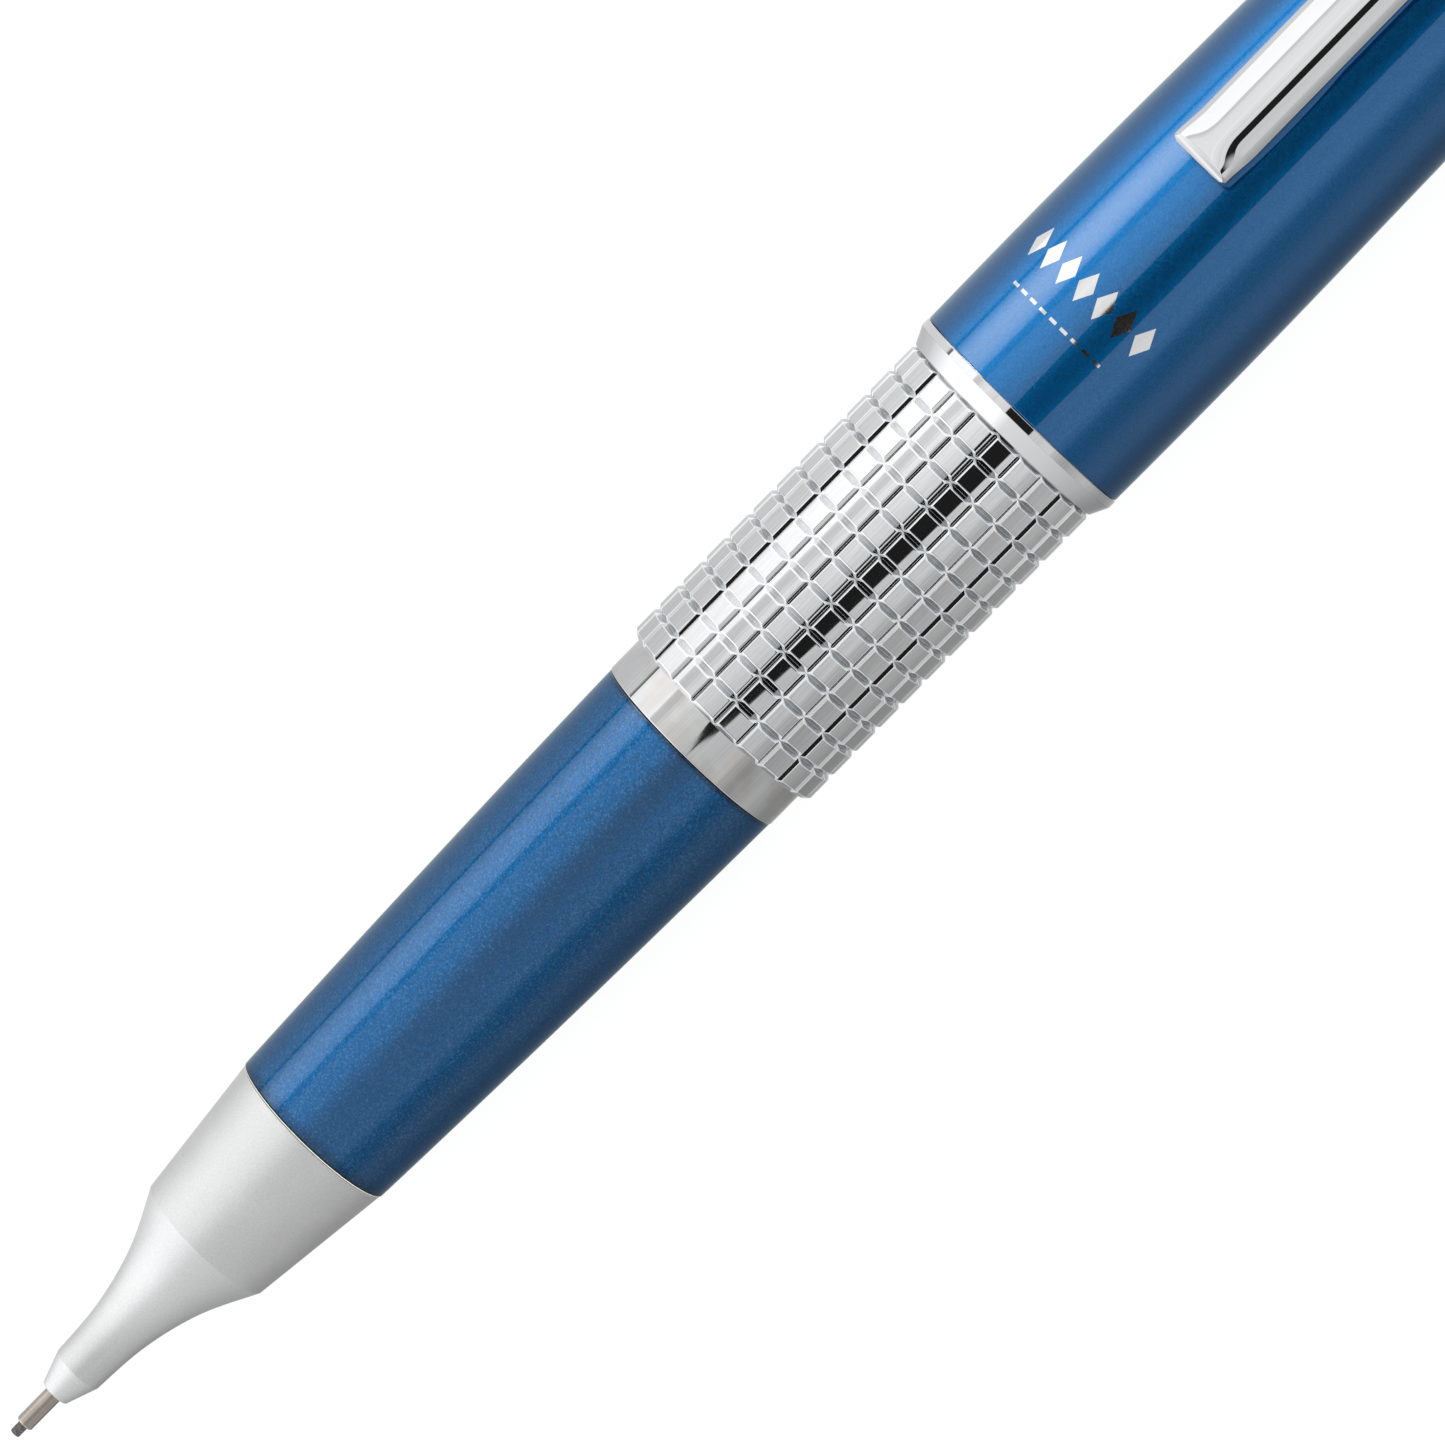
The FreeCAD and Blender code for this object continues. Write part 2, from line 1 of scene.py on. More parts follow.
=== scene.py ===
# A capped push-button pencil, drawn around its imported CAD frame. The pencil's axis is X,
# the tip is at X = 0, and the pocket clip is on the +Z side. Half sections are lists of
# corners, (x, radius) or (x, radius, rounding).

from math import atan2, cos, degrees, hypot, pi, radians, sin, sqrt, tan

import bmesh
import bpy
from mathutils import Matrix, Vector


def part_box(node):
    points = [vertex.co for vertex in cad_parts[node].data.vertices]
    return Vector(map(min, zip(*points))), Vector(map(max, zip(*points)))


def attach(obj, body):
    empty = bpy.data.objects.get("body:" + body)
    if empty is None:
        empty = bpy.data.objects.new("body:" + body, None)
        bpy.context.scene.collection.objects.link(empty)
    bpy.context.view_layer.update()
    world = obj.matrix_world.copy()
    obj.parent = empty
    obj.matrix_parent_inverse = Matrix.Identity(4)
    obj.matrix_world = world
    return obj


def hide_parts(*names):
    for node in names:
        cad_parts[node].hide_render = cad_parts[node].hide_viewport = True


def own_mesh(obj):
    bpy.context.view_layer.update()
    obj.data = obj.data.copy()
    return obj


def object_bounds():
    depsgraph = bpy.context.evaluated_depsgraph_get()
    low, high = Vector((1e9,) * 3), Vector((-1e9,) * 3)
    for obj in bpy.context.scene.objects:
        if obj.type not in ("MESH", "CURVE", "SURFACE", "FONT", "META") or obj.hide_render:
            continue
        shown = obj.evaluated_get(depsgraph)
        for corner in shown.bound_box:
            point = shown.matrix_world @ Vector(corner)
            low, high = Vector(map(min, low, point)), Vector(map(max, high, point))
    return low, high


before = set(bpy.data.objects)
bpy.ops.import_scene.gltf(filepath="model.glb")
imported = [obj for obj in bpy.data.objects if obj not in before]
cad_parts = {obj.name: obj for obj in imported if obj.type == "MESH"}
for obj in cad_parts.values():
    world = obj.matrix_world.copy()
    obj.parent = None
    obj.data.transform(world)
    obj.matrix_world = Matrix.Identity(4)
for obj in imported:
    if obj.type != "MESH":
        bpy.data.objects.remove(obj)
cad_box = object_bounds()

MM = 0.001
PER_MM = 1 / MM
AROUND = 192  # segments around a turned piece
GAP = 0.02  # play between pieces that are pressed together
CLIP_SIDE_TURN = radians(17.5)  # the camera looks from +Z turned this far towards -Y
KNURL_ROWS, KNURL_COLUMNS = 12, 24
KNURL_START, KNURL_LENGTH = 2.17, 20  # from the band's front face
KNURL_PHASE = radians(2.5)
ROW_GROOVE, COLUMN_GROOVE = 0.21, 0.17  # half the width, and the depth, of the 90 degree grooves
CLOSE = 1e-6  # places nearer than this are the same


def span(node):
    """Front and back X of a CAD node, and the largest radius it reaches in Y."""
    low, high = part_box(node)
    return low.x / MM, high.x / MM, high.y / MM


nose_x, nose_end, _ = span("nose_cone")
barrel_x, barrel_end, barrel_end_r = span("front_barrel")
band_x, band_end, band_r = span("centre_band")
ring_x, ring_end, ring_r = span("cap_ring")
cap_x = span("cap_tube")[0]
rear_x, rear_end, rear_r = span("rear_barrel")
clip_x, clip_end, clip_half = span("clip")
clip_bottom, clip_top = [corner.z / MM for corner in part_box("clip")]


# ---- meshes ----
def add_object(name, data):
    thing = bpy.data.objects.new(name, data)
    bpy.context.scene.collection.objects.link(thing)
    return thing


def claim(piece, body, node):
    """Hangs a piece on its body, in place of a CAD node."""
    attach(piece, body)
    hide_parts(node)


def add_piece(name, verts, faces, material, body, node, sharp=35):
    """Makes a piece from millimetre points."""
    mesh = bpy.data.meshes.new(name)
    mesh.from_pydata([Vector(v) * MM for v in verts], [], faces)
    bm = bmesh.new()
    bm.from_mesh(mesh)
    bmesh.ops.recalc_face_normals(bm, faces=bm.faces)
    bm.to_mesh(mesh)
    bm.free()
    mesh.shade_smooth()
    mesh.set_sharp_from_angle(angle=radians(sharp))
    mesh.materials.append(material)
    piece = add_object(name, mesh)
    claim(piece, body, node)
    return piece


FILLET_STEPS = 4
NEARLY_STRAIGHT = radians(88)  # half the angle of a corner that isn't rounded
FILLET_SHARE = 0.4  # the most that a rounding takes of the edges beside it
SUPPORT = 0.35  # how far the support points lie beyond it, as a share of its reach


def fillet(before, corner, after, radius):
    """Points of a small arc that rounds a corner, with a support point each side."""
    p = Vector(corner)
    to_a, to_b = Vector(before) - p, Vector(after) - p
    len_a, len_b = to_a.length, to_b.length
    a, b = to_a.normalized(), to_b.normalized()
    half = a.angle(b) / 2
    if half > NEARLY_STRAIGHT:
        return [tuple(p)]
    reach = min(radius / tan(half), FILLET_SHARE * len_a, FILLET_SHARE * len_b)
    radius = reach * tan(half)
    centre = p + (a + b).normalized() * (radius / sin(half))
    start, end = p + a * reach - centre, p + b * reach - centre
    turn = start.angle_signed(end)
    arc = []
    for k in range(FILLET_STEPS + 1):
        angle = -turn * k / FILLET_STEPS
        c, s = cos(angle), sin(angle)
        arc.append((centre.x + start.x * c - start.y * s, centre.y + start.x * s + start.y * c))
    support = reach + SUPPORT * reach
    first, last = p + a * support, p + b * support
    return [tuple(first)] + arc + [tuple(last)]


def outline(corners, closed):
    """The points of a half section, with its corners rounded."""
    points = []
    count = len(corners)
    for i, corner in enumerate(corners):
        inner = closed or 0 < i < count - 1
        if len(corner) == 3 and inner:
            before, after = corners[i - 1], corners[(i + 1) % count]
            points += fillet(before[:2], corner[:2], after[:2], corner[2])
        else:
            points.append(tuple(corner[:2]))
    return points


def lathe(name, corners, material, body, node, around=AROUND):
    """Turns a half section about X. It closes on itself unless it starts and ends on the axis."""
    on_axis = corners[0][1] == 0
    points = outline(corners, not on_axis)
    verts, rings = [], []
    for x, r in points:
        if r == 0:
            rings.append([len(verts)] * around)
            verts.append((x, 0, 0))
            continue
        first = len(verts)
        rings.append(list(range(first, first + around)))
        for k in range(around):
            angle = 2 * pi * k / around
            verts.append((x, -r * sin(angle), r * cos(angle)))
    faces = []
    pairs = list(zip(rings, rings[1:]))
    if not on_axis:
        pairs.append((rings[-1], rings[0]))
    for ring, after in pairs:
        for k in range(around):
            m = (k + 1) % around
            face = [ring[k], ring[m], after[m], after[k]]
            faces.append(list(dict.fromkeys(face)))  # a triangle where the section meets the axis
    add_piece(name, verts, faces, material, body, node)


def arc_through(a, via, b, count):
    """Points on the circle through three points, from a to b."""
    ax, ay = a
    bx, by = via
    cx, cy = b
    d = 2 * (ax * (by - cy) + bx * (cy - ay) + cx * (ay - by))
    a2, b2, c2 = ax * ax + ay * ay, bx * bx + by * by, cx * cx + cy * cy
    ux = (a2 * (by - cy) + b2 * (cy - ay) + c2 * (ay - by)) / d
    uy = (a2 * (cx - bx) + b2 * (ax - cx) + c2 * (bx - ax)) / d
    start = atan2(ay - uy, ax - ux)
    sweep = atan2(cy - uy, cx - ux) - start
    r = hypot(ax - ux, ay - uy)
    angles = [start + sweep * k / count for k in range(count + 1)]
    return [(ux + r * cos(t), uy + r * sin(t)) for t in angles]


def bowed(a, b, bow, count):
    """An arc from a to b that stands out by bow at its middle."""
    middle = ((a[0] + b[0]) / 2, (a[1] + b[1]) / 2 + bow)
    return arc_through(a, middle, b, count)


def hermite(knots, start_slope, end_slope):
    """A smooth curve through knots of (x, r), with slopes taken from the neighbours of each knot."""
    per_span = 10
    slopes = [start_slope]
    for before, after in zip(knots, knots[2:]):
        slopes.append((after[1] - before[1]) / (after[0] - before[0]))
    slopes.append(end_slope)
    curve = [knots[0]]
    for (x0, r0), (x1, r1), m0, m1 in zip(knots, knots[1:], slopes, slopes[1:]):
        run = x1 - x0
        for k in range(1, per_span + 1):
            t = k / per_span
            h = (2 * t**3 - 3 * t**2 + 1) * r0 + (t**3 - 2 * t**2 + t) * run * m0
            h += (3 * t**2 - 2 * t**3) * r1 + (t**3 - t**2) * run * m1
            curve.append((x0 + run * t, h))
    return curve


# ---- node helpers ----
NOISE_RANGE = (0.3, 0.7)  # nearly all values of a noise texture lie between these


class Nodes:
    """A material's or world's node tree, built call by call. Values are numbers or sockets."""

    def __init__(self, owner):
        self.owner = owner
        owner.use_nodes = True
        self.tree = owner.node_tree
        self.tree.nodes.clear()

    def new(self, kind):
        return self.tree.nodes.new("ShaderNode" + kind)

    def put(self, node, name, value):
        """Sets an input, by its name or number, to a value or links it to a socket."""
        socket = node.inputs[name] if isinstance(name, int) else node.inputs.get(name)
        if hasattr(value, "is_linked"):
            self.tree.links.new(value, socket)
        else:
            socket.default_value = value

    def fill(self, node, *values):
        """Puts values into a node's first inputs, and returns its first output."""
        for slot, value in enumerate(values):
            self.put(node, slot, value)
        return node.outputs[0]

    def add(self, kind, **inputs):
        node = self.new(kind)
        for name, value in inputs.items():
            self.put(node, name.replace("_", " "), value)
        return node

    def math(self, operation, a, b=0, c=0, clamp=False):
        node = self.new("Math")
        node.operation = operation
        node.use_clamp = clamp
        return self.fill(node, a, b, c)

    def times(self, product, *factors):
        for factor in factors:
            product = self.math("MULTIPLY", product, factor)
        return product

    def most(self, largest, *others):
        for other in others:
            largest = self.math("MAXIMUM", largest, other)
        return largest

    def plus(self, a, b):
        return self.math("ADD", a, b)

    def minus(self, a, b, clamp=False):
        return self.math("SUBTRACT", a, b, clamp=clamp)

    def scaled_plus(self, a, scale, b):
        return self.math("MULTIPLY_ADD", a, scale, b)

    def size(self, a):
        return self.math("ABSOLUTE", a)

    def above(self, a, b):
        return self.math("GREATER_THAN", a, b)

    def below(self, a, b):
        return self.math("LESS_THAN", a, b)

    def vector(self, operation, a, b=(0, 0, 0), scale=1):
        node = self.new("VectorMath")
        node.operation = operation
        self.put(node, 3, scale)
        return self.fill(node, a, b)

    def dimmed(self, colour, level):
        return self.vector("SCALE", colour[:3], scale=level)

    def ranged(self, value, low, high, to_low=0, to_high=1, smooth=False):
        """Maps low..high to to_low..to_high, and stays there beyond."""
        node = self.new("MapRange")
        node.interpolation_type = "SMOOTHSTEP" if smooth else "LINEAR"
        return self.fill(node, value, low, high, to_low, to_high)

    def varied(self, noise, low, high):
        """A noise texture, stretched to vary between low and high."""
        return self.ranged(noise, *NOISE_RANGE, low, high)

    def mix(self, factor, a, b):
        node = self.new("Mix")
        node.data_type = "RGBA"
        self.put(node, 0, factor)
        self.put(node, 6, a)
        self.put(node, 7, b)
        return node.outputs[2]

    def blend(self, factor, a, b):
        """Mixes the outputs of two shaders."""
        return self.fill(self.new("MixShader"), factor, a, b)

    def ramp(self, factor, stops):
        node = self.new("ValToRGB")
        items = node.color_ramp.elements
        while len(items) < len(stops):
            items.new(1)
        for item, (place, level) in zip(items, stops):
            item.position = place
            item.color = (level, level, level, 1)
        return self.fill(node, factor)

    def axes(self, vector):
        return self.add("SeparateXYZ", Vector=vector).outputs

    def geometry(self, name):
        return self.new("NewGeometry").outputs[name]

    def place(self):
        """Object coordinates in millimetres."""
        coords = self.new("TexCoord")
        return self.vector("SCALE", coords.outputs["Object"], scale=PER_MM)

    def stretched(self, place, x, y, z):
        return self.vector("MULTIPLY", place, (x, y, z))

    def noise(self, place, scale, detail, roughness=0.5):
        node = self.add("TexNoise", Vector=place, Scale=scale, Detail=detail, Roughness=roughness)
        return node.outputs["Fac"]

    def cells(self, place, scale):
        """A random colour for each small cell."""
        return self.add("TexVoronoi", Vector=place, Scale=scale).outputs["Color"]

    def bump(self, height, strength, distance_mm):
        return self.add("Bump", Height=height, Strength=strength,
                        Distance=distance_mm * MM).outputs[0]

    def tilted(self, cell_colour, amount):
        """The surface normal, leaning a little at random in each cell."""
        lean = self.vector("SUBTRACT", cell_colour, (0.5, 0.5, 0.5))
        lean = self.vector("SCALE", lean, scale=amount)
        return self.vector("NORMALIZE", self.vector("ADD", self.geometry("Normal"), lean))

    def around(self, y, z):
        """Angle about the X axis in radians from +Z, positive towards -Y."""
        return self.math("ARCTAN2", self.times(y, -1), z)

    def camera_angle(self, y, z):
        """The same in degrees, from the side that the camera is on."""
        angle = self.math("DEGREES", self.around(y, z))
        return self.math("WRAP", self.minus(angle, degrees(CLIP_SIDE_TURN)), 180, -180)

    def around_ramp(self, angle, table):
        """Looks up a table of (degrees, level). The ramp holds half of each level, as it clips above 1."""
        stops = [((angle_at + 180) / 360, level / 2) for angle_at, level in table]
        return self.times(self.ramp(self.ranged(angle, -180, 180), stops), 2)

    def output(self, surface):
        self.put(self.new("OutputMaterial"), 0, surface)
        return self.owner

    def finish(self, **inputs):
        return self.output(self.add("BsdfPrincipled", **inputs).outputs[0])


def rgb(r, g, b):
    return (r, g, b, 1)


def new_material(name):
    """The nodes of a new material, and the place on the object in millimetres."""
    n = Nodes(bpy.data.materials.new(name))
    return n, n.place()


# ---- materials ----
PLATE = rgb(0.66, 0.665, 0.672)
# Painted highlight colour of the knurl's bright lines.
PAINTED_HIGHLIGHT = rgb(0.93, 0.94, 0.95)
FLANK_SHADE = (0.76, 0.79, 0.81)  # painted shade: groove flanks are greyer than the pads
SMUDGE_TINT = (0.93, 0.9, 0.86)  # fingered chrome is a little warmer
BLUE = rgb(0.002, 0.16, 0.45)
BLUE_EDGE = rgb(0.08, 0.6, 0.85)  # what the metallic paint turns to at a glancing look
GLINT = rgb(0.55, 0.8, 0.95)  # painted glints: a few flakes are coloured pale blue, as if they flashed
SEAM = rgb(0.004, 0.004, 0.006)  # the dark gap between the nose and the lacquer
CREAM = rgb(0.85, 0.8, 0.68)  # the worn rim in front of it
FOIL = rgb(0.72, 0.72, 0.73)
DEEPENING = [(0, 0.26), (0.31, 0.34), (0.44, 0.41), (0.56, 0.5), (0.77, 0.6), (0.85, 0.72),
             (0.913, 0.86), (0.961, 0.97), (1, 1)]  # tinted coats look darker seen edge on
# Painted light and shade in the paint's colour, brighter on the side of the soft box: (degrees from the
# camera's side, factor).
CAP_PAINTED_LIGHT = [(-180, 1), (-90, 1.1), (-64, 1.25), (-54, 1.45), (-46, 1.85), (-40, 1.65), (-32, 1.25),
            (-24, 1.33), (-16, 1.05), (-8, .9), (2, 1.05), (8, 1), (16, .75), (24, .87), (38, .95),
            (70, 1.1), (180, 1)]
BARREL_PAINTED_LIGHT = [(-180, 1), (-70, 1.3), (-48, 1.15), (-28, 1.05), (-16, .8), (20, .77), (32, .9),
               (50, .82), (66, 1.3), (180, 1)]
RIM_END, SEAM_END = 0.07, 0.15  # behind the front edge of the front sleeve
NOSE_SHADE = (0.12, 0.95)  # painted shade: the lacquer is darker from here to here behind that edge
BAND_SHADE = (-0.35, -0.05)  # and painted shade from here to here before the band


def facing(n):
    """Cosine between the surface and the line of sight."""
    node = n.new("VectorMath")
    node.operation = "DOT_PRODUCT"
    n.fill(node, n.geometry("Normal"), n.geometry("Incoming"))
    return node.outputs["Value"]


def lacquer(name, glow, flake_mm, tilt, contrast, glint, front_x=None, band_x=None, ornament=None):
    """Blue metallic paint under a clear coat: fine flakes, faint mottle and a little orange peel.

    Flakes lean by tilt, their brightness varies by contrast, and a few get painted glints of GLINT. glow is
    a table of painted light and shade by the surface's angle round the pencil. front_x is the front edge,
    with a seam before it and painted shade behind it, and band_x is where the paint meets the band, with
    painted shade before it.
    """
    n, place = new_material(name)
    x = n.axes(place)[0]
    flake = n.cells(place, 1 / flake_mm)
    sparkle, flash, _ = n.axes(flake)
    mottle = n.noise(place, 4, 4, 0.7)
    _, y, z = n.axes(n.geometry("Normal"))
    # The last factor is painted light and shade from the glow table, by the surface's angle round the
    # pencil.
    level = n.times(n.ranged(sparkle, 0, 1, 1 - contrast, 1 + contrast),
                    n.varied(mottle, 0.95, 1.05), n.ramp(facing(n), DEEPENING),
                    n.around_ramp(n.camera_angle(y, z), glow))
    # Painted shade: darker behind the nose's edge and before the band.
    if front_x is not None:
        start, end = [front_x + behind for behind in NOSE_SHADE]
        level = n.times(level, n.ranged(x, start, end, 0.5, 1, smooth=True))
    if band_x is not None:
        start, end = [band_x + behind for behind in BAND_SHADE]
        level = n.times(level, n.ranged(x, start, end, 1, 0.3, smooth=True))
    # Painted glints: a few flakes are mixed towards GLINT.
    colour = n.mix(n.ranged(flash, 0.7, 1, 0, glint), n.dimmed(BLUE, level), GLINT)
    painted = 1
    if front_x is not None:
        ragged = n.ranged(mottle, 0, 1, -0.015, 0.015)
        seam = n.below(x, n.plus(front_x + SEAM_END, ragged))
        rim = n.below(x, n.plus(front_x + RIM_END, ragged))
        colour = n.mix(rim, n.mix(seam, colour, SEAM), CREAM)
        painted = n.minus(1, seam)
    peel = n.bump(n.noise(place, 0.8, 1), 0.04, 0.04)
    paint = n.add("BsdfPrincipled", Base_Color=colour, Metallic=painted,
                  Roughness=n.varied(mottle, 0.27, 0.31), Normal=n.tilted(flake, tilt),
                  Specular_Tint=BLUE_EDGE, Coat_Weight=painted, Coat_Roughness=0, Coat_Normal=peel,
                  Coat_IOR=1.5).outputs[0]
    if ornament is None:
        return n.output(paint)
    grain = n.noise(place, 14, 3)
    foil = n.add("BsdfPrincipled", Base_Color=FOIL, Metallic=1,
                 Roughness=n.varied(grain, 0.06, 0.12), Normal=n.bump(grain, 0.15, 0.002)).outputs[0]
    return n.output(n.blend(ornament(n, place), paint, foil))


def polished(name, colour, roughness):
    """Plated metal: hairline polishing marks round the axis and softly varied gloss."""
    along, wear = 0.05, 0.02
    n, place = new_material(name)
    haze = n.noise(place, 0.7, 4)
    hairline = n.noise(n.stretched(place, 1, along, along), 22, 3)
    smudge = n.noise(place, 0.35, 2)
    gloss = n.plus(n.ranged(haze, 0.35, 0.75, roughness, roughness + wear),
                   n.ranged(smudge, 0.5, 0.8, 0, wear))
    return n.finish(Base_Color=n.dimmed(colour, n.ranged(smudge, 0.2, 0.8, 0.97, 1)), Metallic=1,
                    Roughness=gloss, Normal=n.bump(hairline, 0.12, 0.0012))


# Half widths of the painted highlight lines: pad edges, mitres, cell edges and the floors of the grooves.
PAD_LINE, MITRE_LINE, CELL_LINE, ROW_LINE, COLUMN_LINE = 0.026, 0.048, 0.024, 0.022, 0.02
BOX_TURN = CLIP_SIDE_TURN + radians(-26)  # the pads here mirror the soft box


def chrome_with_painted_light(name, colour, knurl_x, r):
    """Chrome over the pads, with painted highlights on the pad edges, mitres and groove floors and painted
    shade on the flanks.
    """
    n, place = new_material(name)
    x, y, z = n.axes(place)
    around = n.around(y, z)

    def line(distance, half_width):
        """1 on a line, falling to 0 at its half width."""
        return n.minus(1, n.math("DIVIDE", n.size(distance), half_width), clamp=True)

    arc = n.times(n.minus(around, KNURL_PHASE), r)
    row = n.math("PINGPONG", n.minus(x, knurl_x), KNURL_LENGTH / KNURL_ROWS / 2)
    column = n.math("PINGPONG", arc, pi * r / KNURL_COLUMNS)
    in_row = n.minus(ROW_GROOVE, row)
    in_column = n.minus(COLUMN_GROOVE, column)
    deepest = n.most(in_row, in_column)
    grooved = n.above(deepest, 0)
    row_wins = n.above(in_row, in_column)
    inside = n.math("COMPARE", x, knurl_x + KNURL_LENGTH / 2, KNURL_LENGTH / 2)

    mitre = n.times(line(n.minus(in_row, in_column), MITRE_LINE), grooved)
    row_floor = n.times(line(row, ROW_LINE), 0.45)
    column_floor = n.times(line(column, COLUMN_LINE), n.minus(0.75, row_wins, clamp=True))
    # Painted highlights: bright lines along the pad edges, mitres and groove floors, stronger in some
    # patches.
    highlight_patches = n.ranged(n.noise(place, 3, 3), 0.35, 0.65, 0.72, 1)
    edge = n.times(n.most(line(deepest, PAD_LINE), mitre, row_floor, column_floor), highlight_patches, inside)

    # Painted shade fills the dark part of a row groove, a lens-shaped cell that ends short of each crossing;
    # the rest of the groove gets painted highlight.
    in_cell = n.minus(n.ranged(column, 0.08, 0.4, 0.02, ROW_GROOVE), row)
    cell = n.above(in_cell, 0)
    in_flank = n.times(row_wins, grooved, inside)
    beside_cell = n.times(in_flank, n.minus(1, cell), 0.6)
    cell_edge = n.times(line(in_cell, CELL_LINE), in_flank, 0.65)
    edge = n.most(edge, beside_cell, cell_edge)

    # Painted light and shade by the angle round the band: towards the soft box the chrome is up to 12%
    # brighter and the flanks lose most of their painted shade.
    off_box = n.size(n.minus(around, BOX_TURN))
    shaded = n.ranged(off_box, radians(12), radians(24), 0.15, 1)
    flank = n.times(in_flank, cell, shaded)
    streak = n.noise(n.stretched(place, 0.06, 1, 1), 9, 3, 0.65)
    streaked = n.ranged(inside, 0, 1, 0.2, 1)
    level = n.times(n.scaled_plus(n.varied(streak, -0.08, 0.06), streaked, 1),
                    n.ranged(shaded, 0.15, 1, 1.12, 1))
    smudge = n.times(n.ranged(n.noise(place, 0.45, 3), 0.42, 0.62, smooth=True), n.minus(1, inside))
    tone = n.dimmed(colour, level)
    tone = n.mix(smudge, tone, n.vector("MULTIPLY", tone, SMUDGE_TINT))
    tone = n.mix(flank, tone, n.vector("MULTIPLY", tone, FLANK_SHADE))
    # Where the painted highlights lie, the chrome turns to their pale colour, less metallic and rougher.
    tone = n.mix(edge, tone, PAINTED_HIGHLIGHT)
    haze = n.ranged(n.noise(place, 0.8, 4), 0.35, 0.75, 0.015, 0.035)
    return n.finish(Base_Color=tone, Metallic=n.scaled_plus(edge, -0.6, 1),
                    Roughness=n.scaled_plus(edge, 0.12, haze),
                    Normal=n.bump(streak, n.times(streaked, 0.05), 0.003))


# Kinds of surface: the grain's detail and roughness, its brightness, its depth in mm, the stains' scale and
# detail, their brightness, and how the gloss varies about its middle.
BLASTED = ((2, 0.6), (0.91, 1.07), 0.004, (0.5, 3), (0.98, 1.02), (-0.02, 0.03))
TURNED = ((3, 0.7), (0.92, 1.05), 0.003, (1.2, 4), (0.94, 1.04), (-0.04, 0.06))
MOULDED = ((3, 0.6), (0.88, 1.1), 0.01, (0.6, 3), (0.94, 1.05), (-0.05, 0.05))


def grained(name, kind, colour, roughness, grain_mm, strength, **more):
    """Metal or plastic with fine grain, and with slow stains that also vary the gloss."""
    texture, grain_levels, depth, stains, stain_levels, gloss = kind
    n, place = new_material(name)
    grain_place = n.stretched(place, 1, 0.02, 0.02) if kind is TURNED else place
    grain = n.noise(grain_place, 1 / grain_mm, *texture)
    stain = n.noise(place, *stains)
    level = n.times(n.varied(grain, *grain_levels), n.varied(stain, *stain_levels))
    return n.finish(Base_Color=n.dimmed(colour, level), Metallic=0 if kind is MOULDED else 1,
                    Normal=n.bump(grain, strength, depth),
                    Roughness=n.varied(stain, *[roughness + change for change in gloss]), **more)


def graphite(name):
    """Polymer-bonded graphite: dark, grainy, with small bright specks."""
    n, place = new_material(name)
    grain = n.noise(n.stretched(place, 0.4, 1, 1), 30, 4, 0.7)
    speck = n.above(n.axes(n.cells(place, 26))[0], 0.88)
    colour = n.mix(grain, rgb(0.045, 0.044, 0.046), rgb(0.13, 0.125, 0.12))
    colour = n.mix(n.times(speck, 0.5), colour, rgb(0.35, 0.34, 0.33))
    return n.finish(Base_Color=colour, Metallic=0.35, Roughness=n.varied(grain, 0.36, 0.55),
                    Normal=n.bump(grain, 0.6, 0.01))


FOIL_R = 6.49  # radius of the cap under the ornament
LOZENGES, LOZENGE_PITCH, LOZENGE_ROW = 7, 1.3, 6.65  # the rows lie this far behind the cap's mouth
LOZENGE_ACROSS, LOZENGE_ALONG = 0.5, 0.95
DASHES, DASH_PITCH, DASH_ROW = 9, 0.75, 4.35
DASH_ACROSS, DASH_ALONG = 0.3, 0.09  # the first is a share of the pitch


def cap_ornament(n, place):
    """Mask of a plain foil ornament on the clip side: a row of lozenges and a row of short dashes."""
    x, y, z = n.axes(place)
    arc = n.times(n.around(y, z), FOIL_R)

    def off_middle(pitch):
        """Distance to the middle of the nearest figure, as a share of the pitch."""
        share = n.math("FRACT", n.plus(n.math("DIVIDE", arc, pitch), 0.5))
        return n.size(n.minus(share, 0.5))

    def off_row(behind_mouth):
        return n.size(n.minus(x, cap_x + behind_mouth))

    def in_row(pitch, count):
        return n.below(n.size(arc), pitch * count / 2)

    reach = n.plus(n.times(off_middle(LOZENGE_PITCH), LOZENGE_PITCH / LOZENGE_ACROSS),
                   n.times(off_row(LOZENGE_ROW), 1 / LOZENGE_ALONG))
    lozenges = n.times(n.below(reach, 1), in_row(LOZENGE_PITCH, LOZENGES))
    dashes = n.times(n.below(off_row(DASH_ROW), DASH_ALONG),
                     n.below(off_middle(DASH_PITCH), DASH_ACROSS), in_row(DASH_PITCH, DASHES))
    return n.most(lozenges, dashes)


CHROME = polished("chrome_plate", PLATE, 0.018)
CHROME_KNURL = chrome_with_painted_light("chrome_knurl", PLATE, band_x + KNURL_START, band_r)
SATIN = grained("satin_aluminium", BLASTED, rgb(0.68, 0.68, 0.68), 0.44, 0.07, 0.6)
STEEL = grained("guide_tube_steel", TURNED, rgb(0.52, 0.47, 0.42), 0.18, 0.05, 0.3)
SPRING_STEEL = grained("spring_wire_steel", TURNED, rgb(0.68, 0.68, 0.7), 0.25, 0.08, 0.3)
ALLOY = grained("joint_alloy", TURNED, rgb(0.66, 0.67, 0.69), 0.32, 0.09, 0.5)
BRASS = grained("turned_brass", TURNED, rgb(0.78, 0.58, 0.26), 0.24, 0.07, 0.5)
BLACK_PLASTIC = grained("black_acetal", MOULDED, rgb(0.02, 0.02, 0.022), 0.38, 0.12, 0.35)
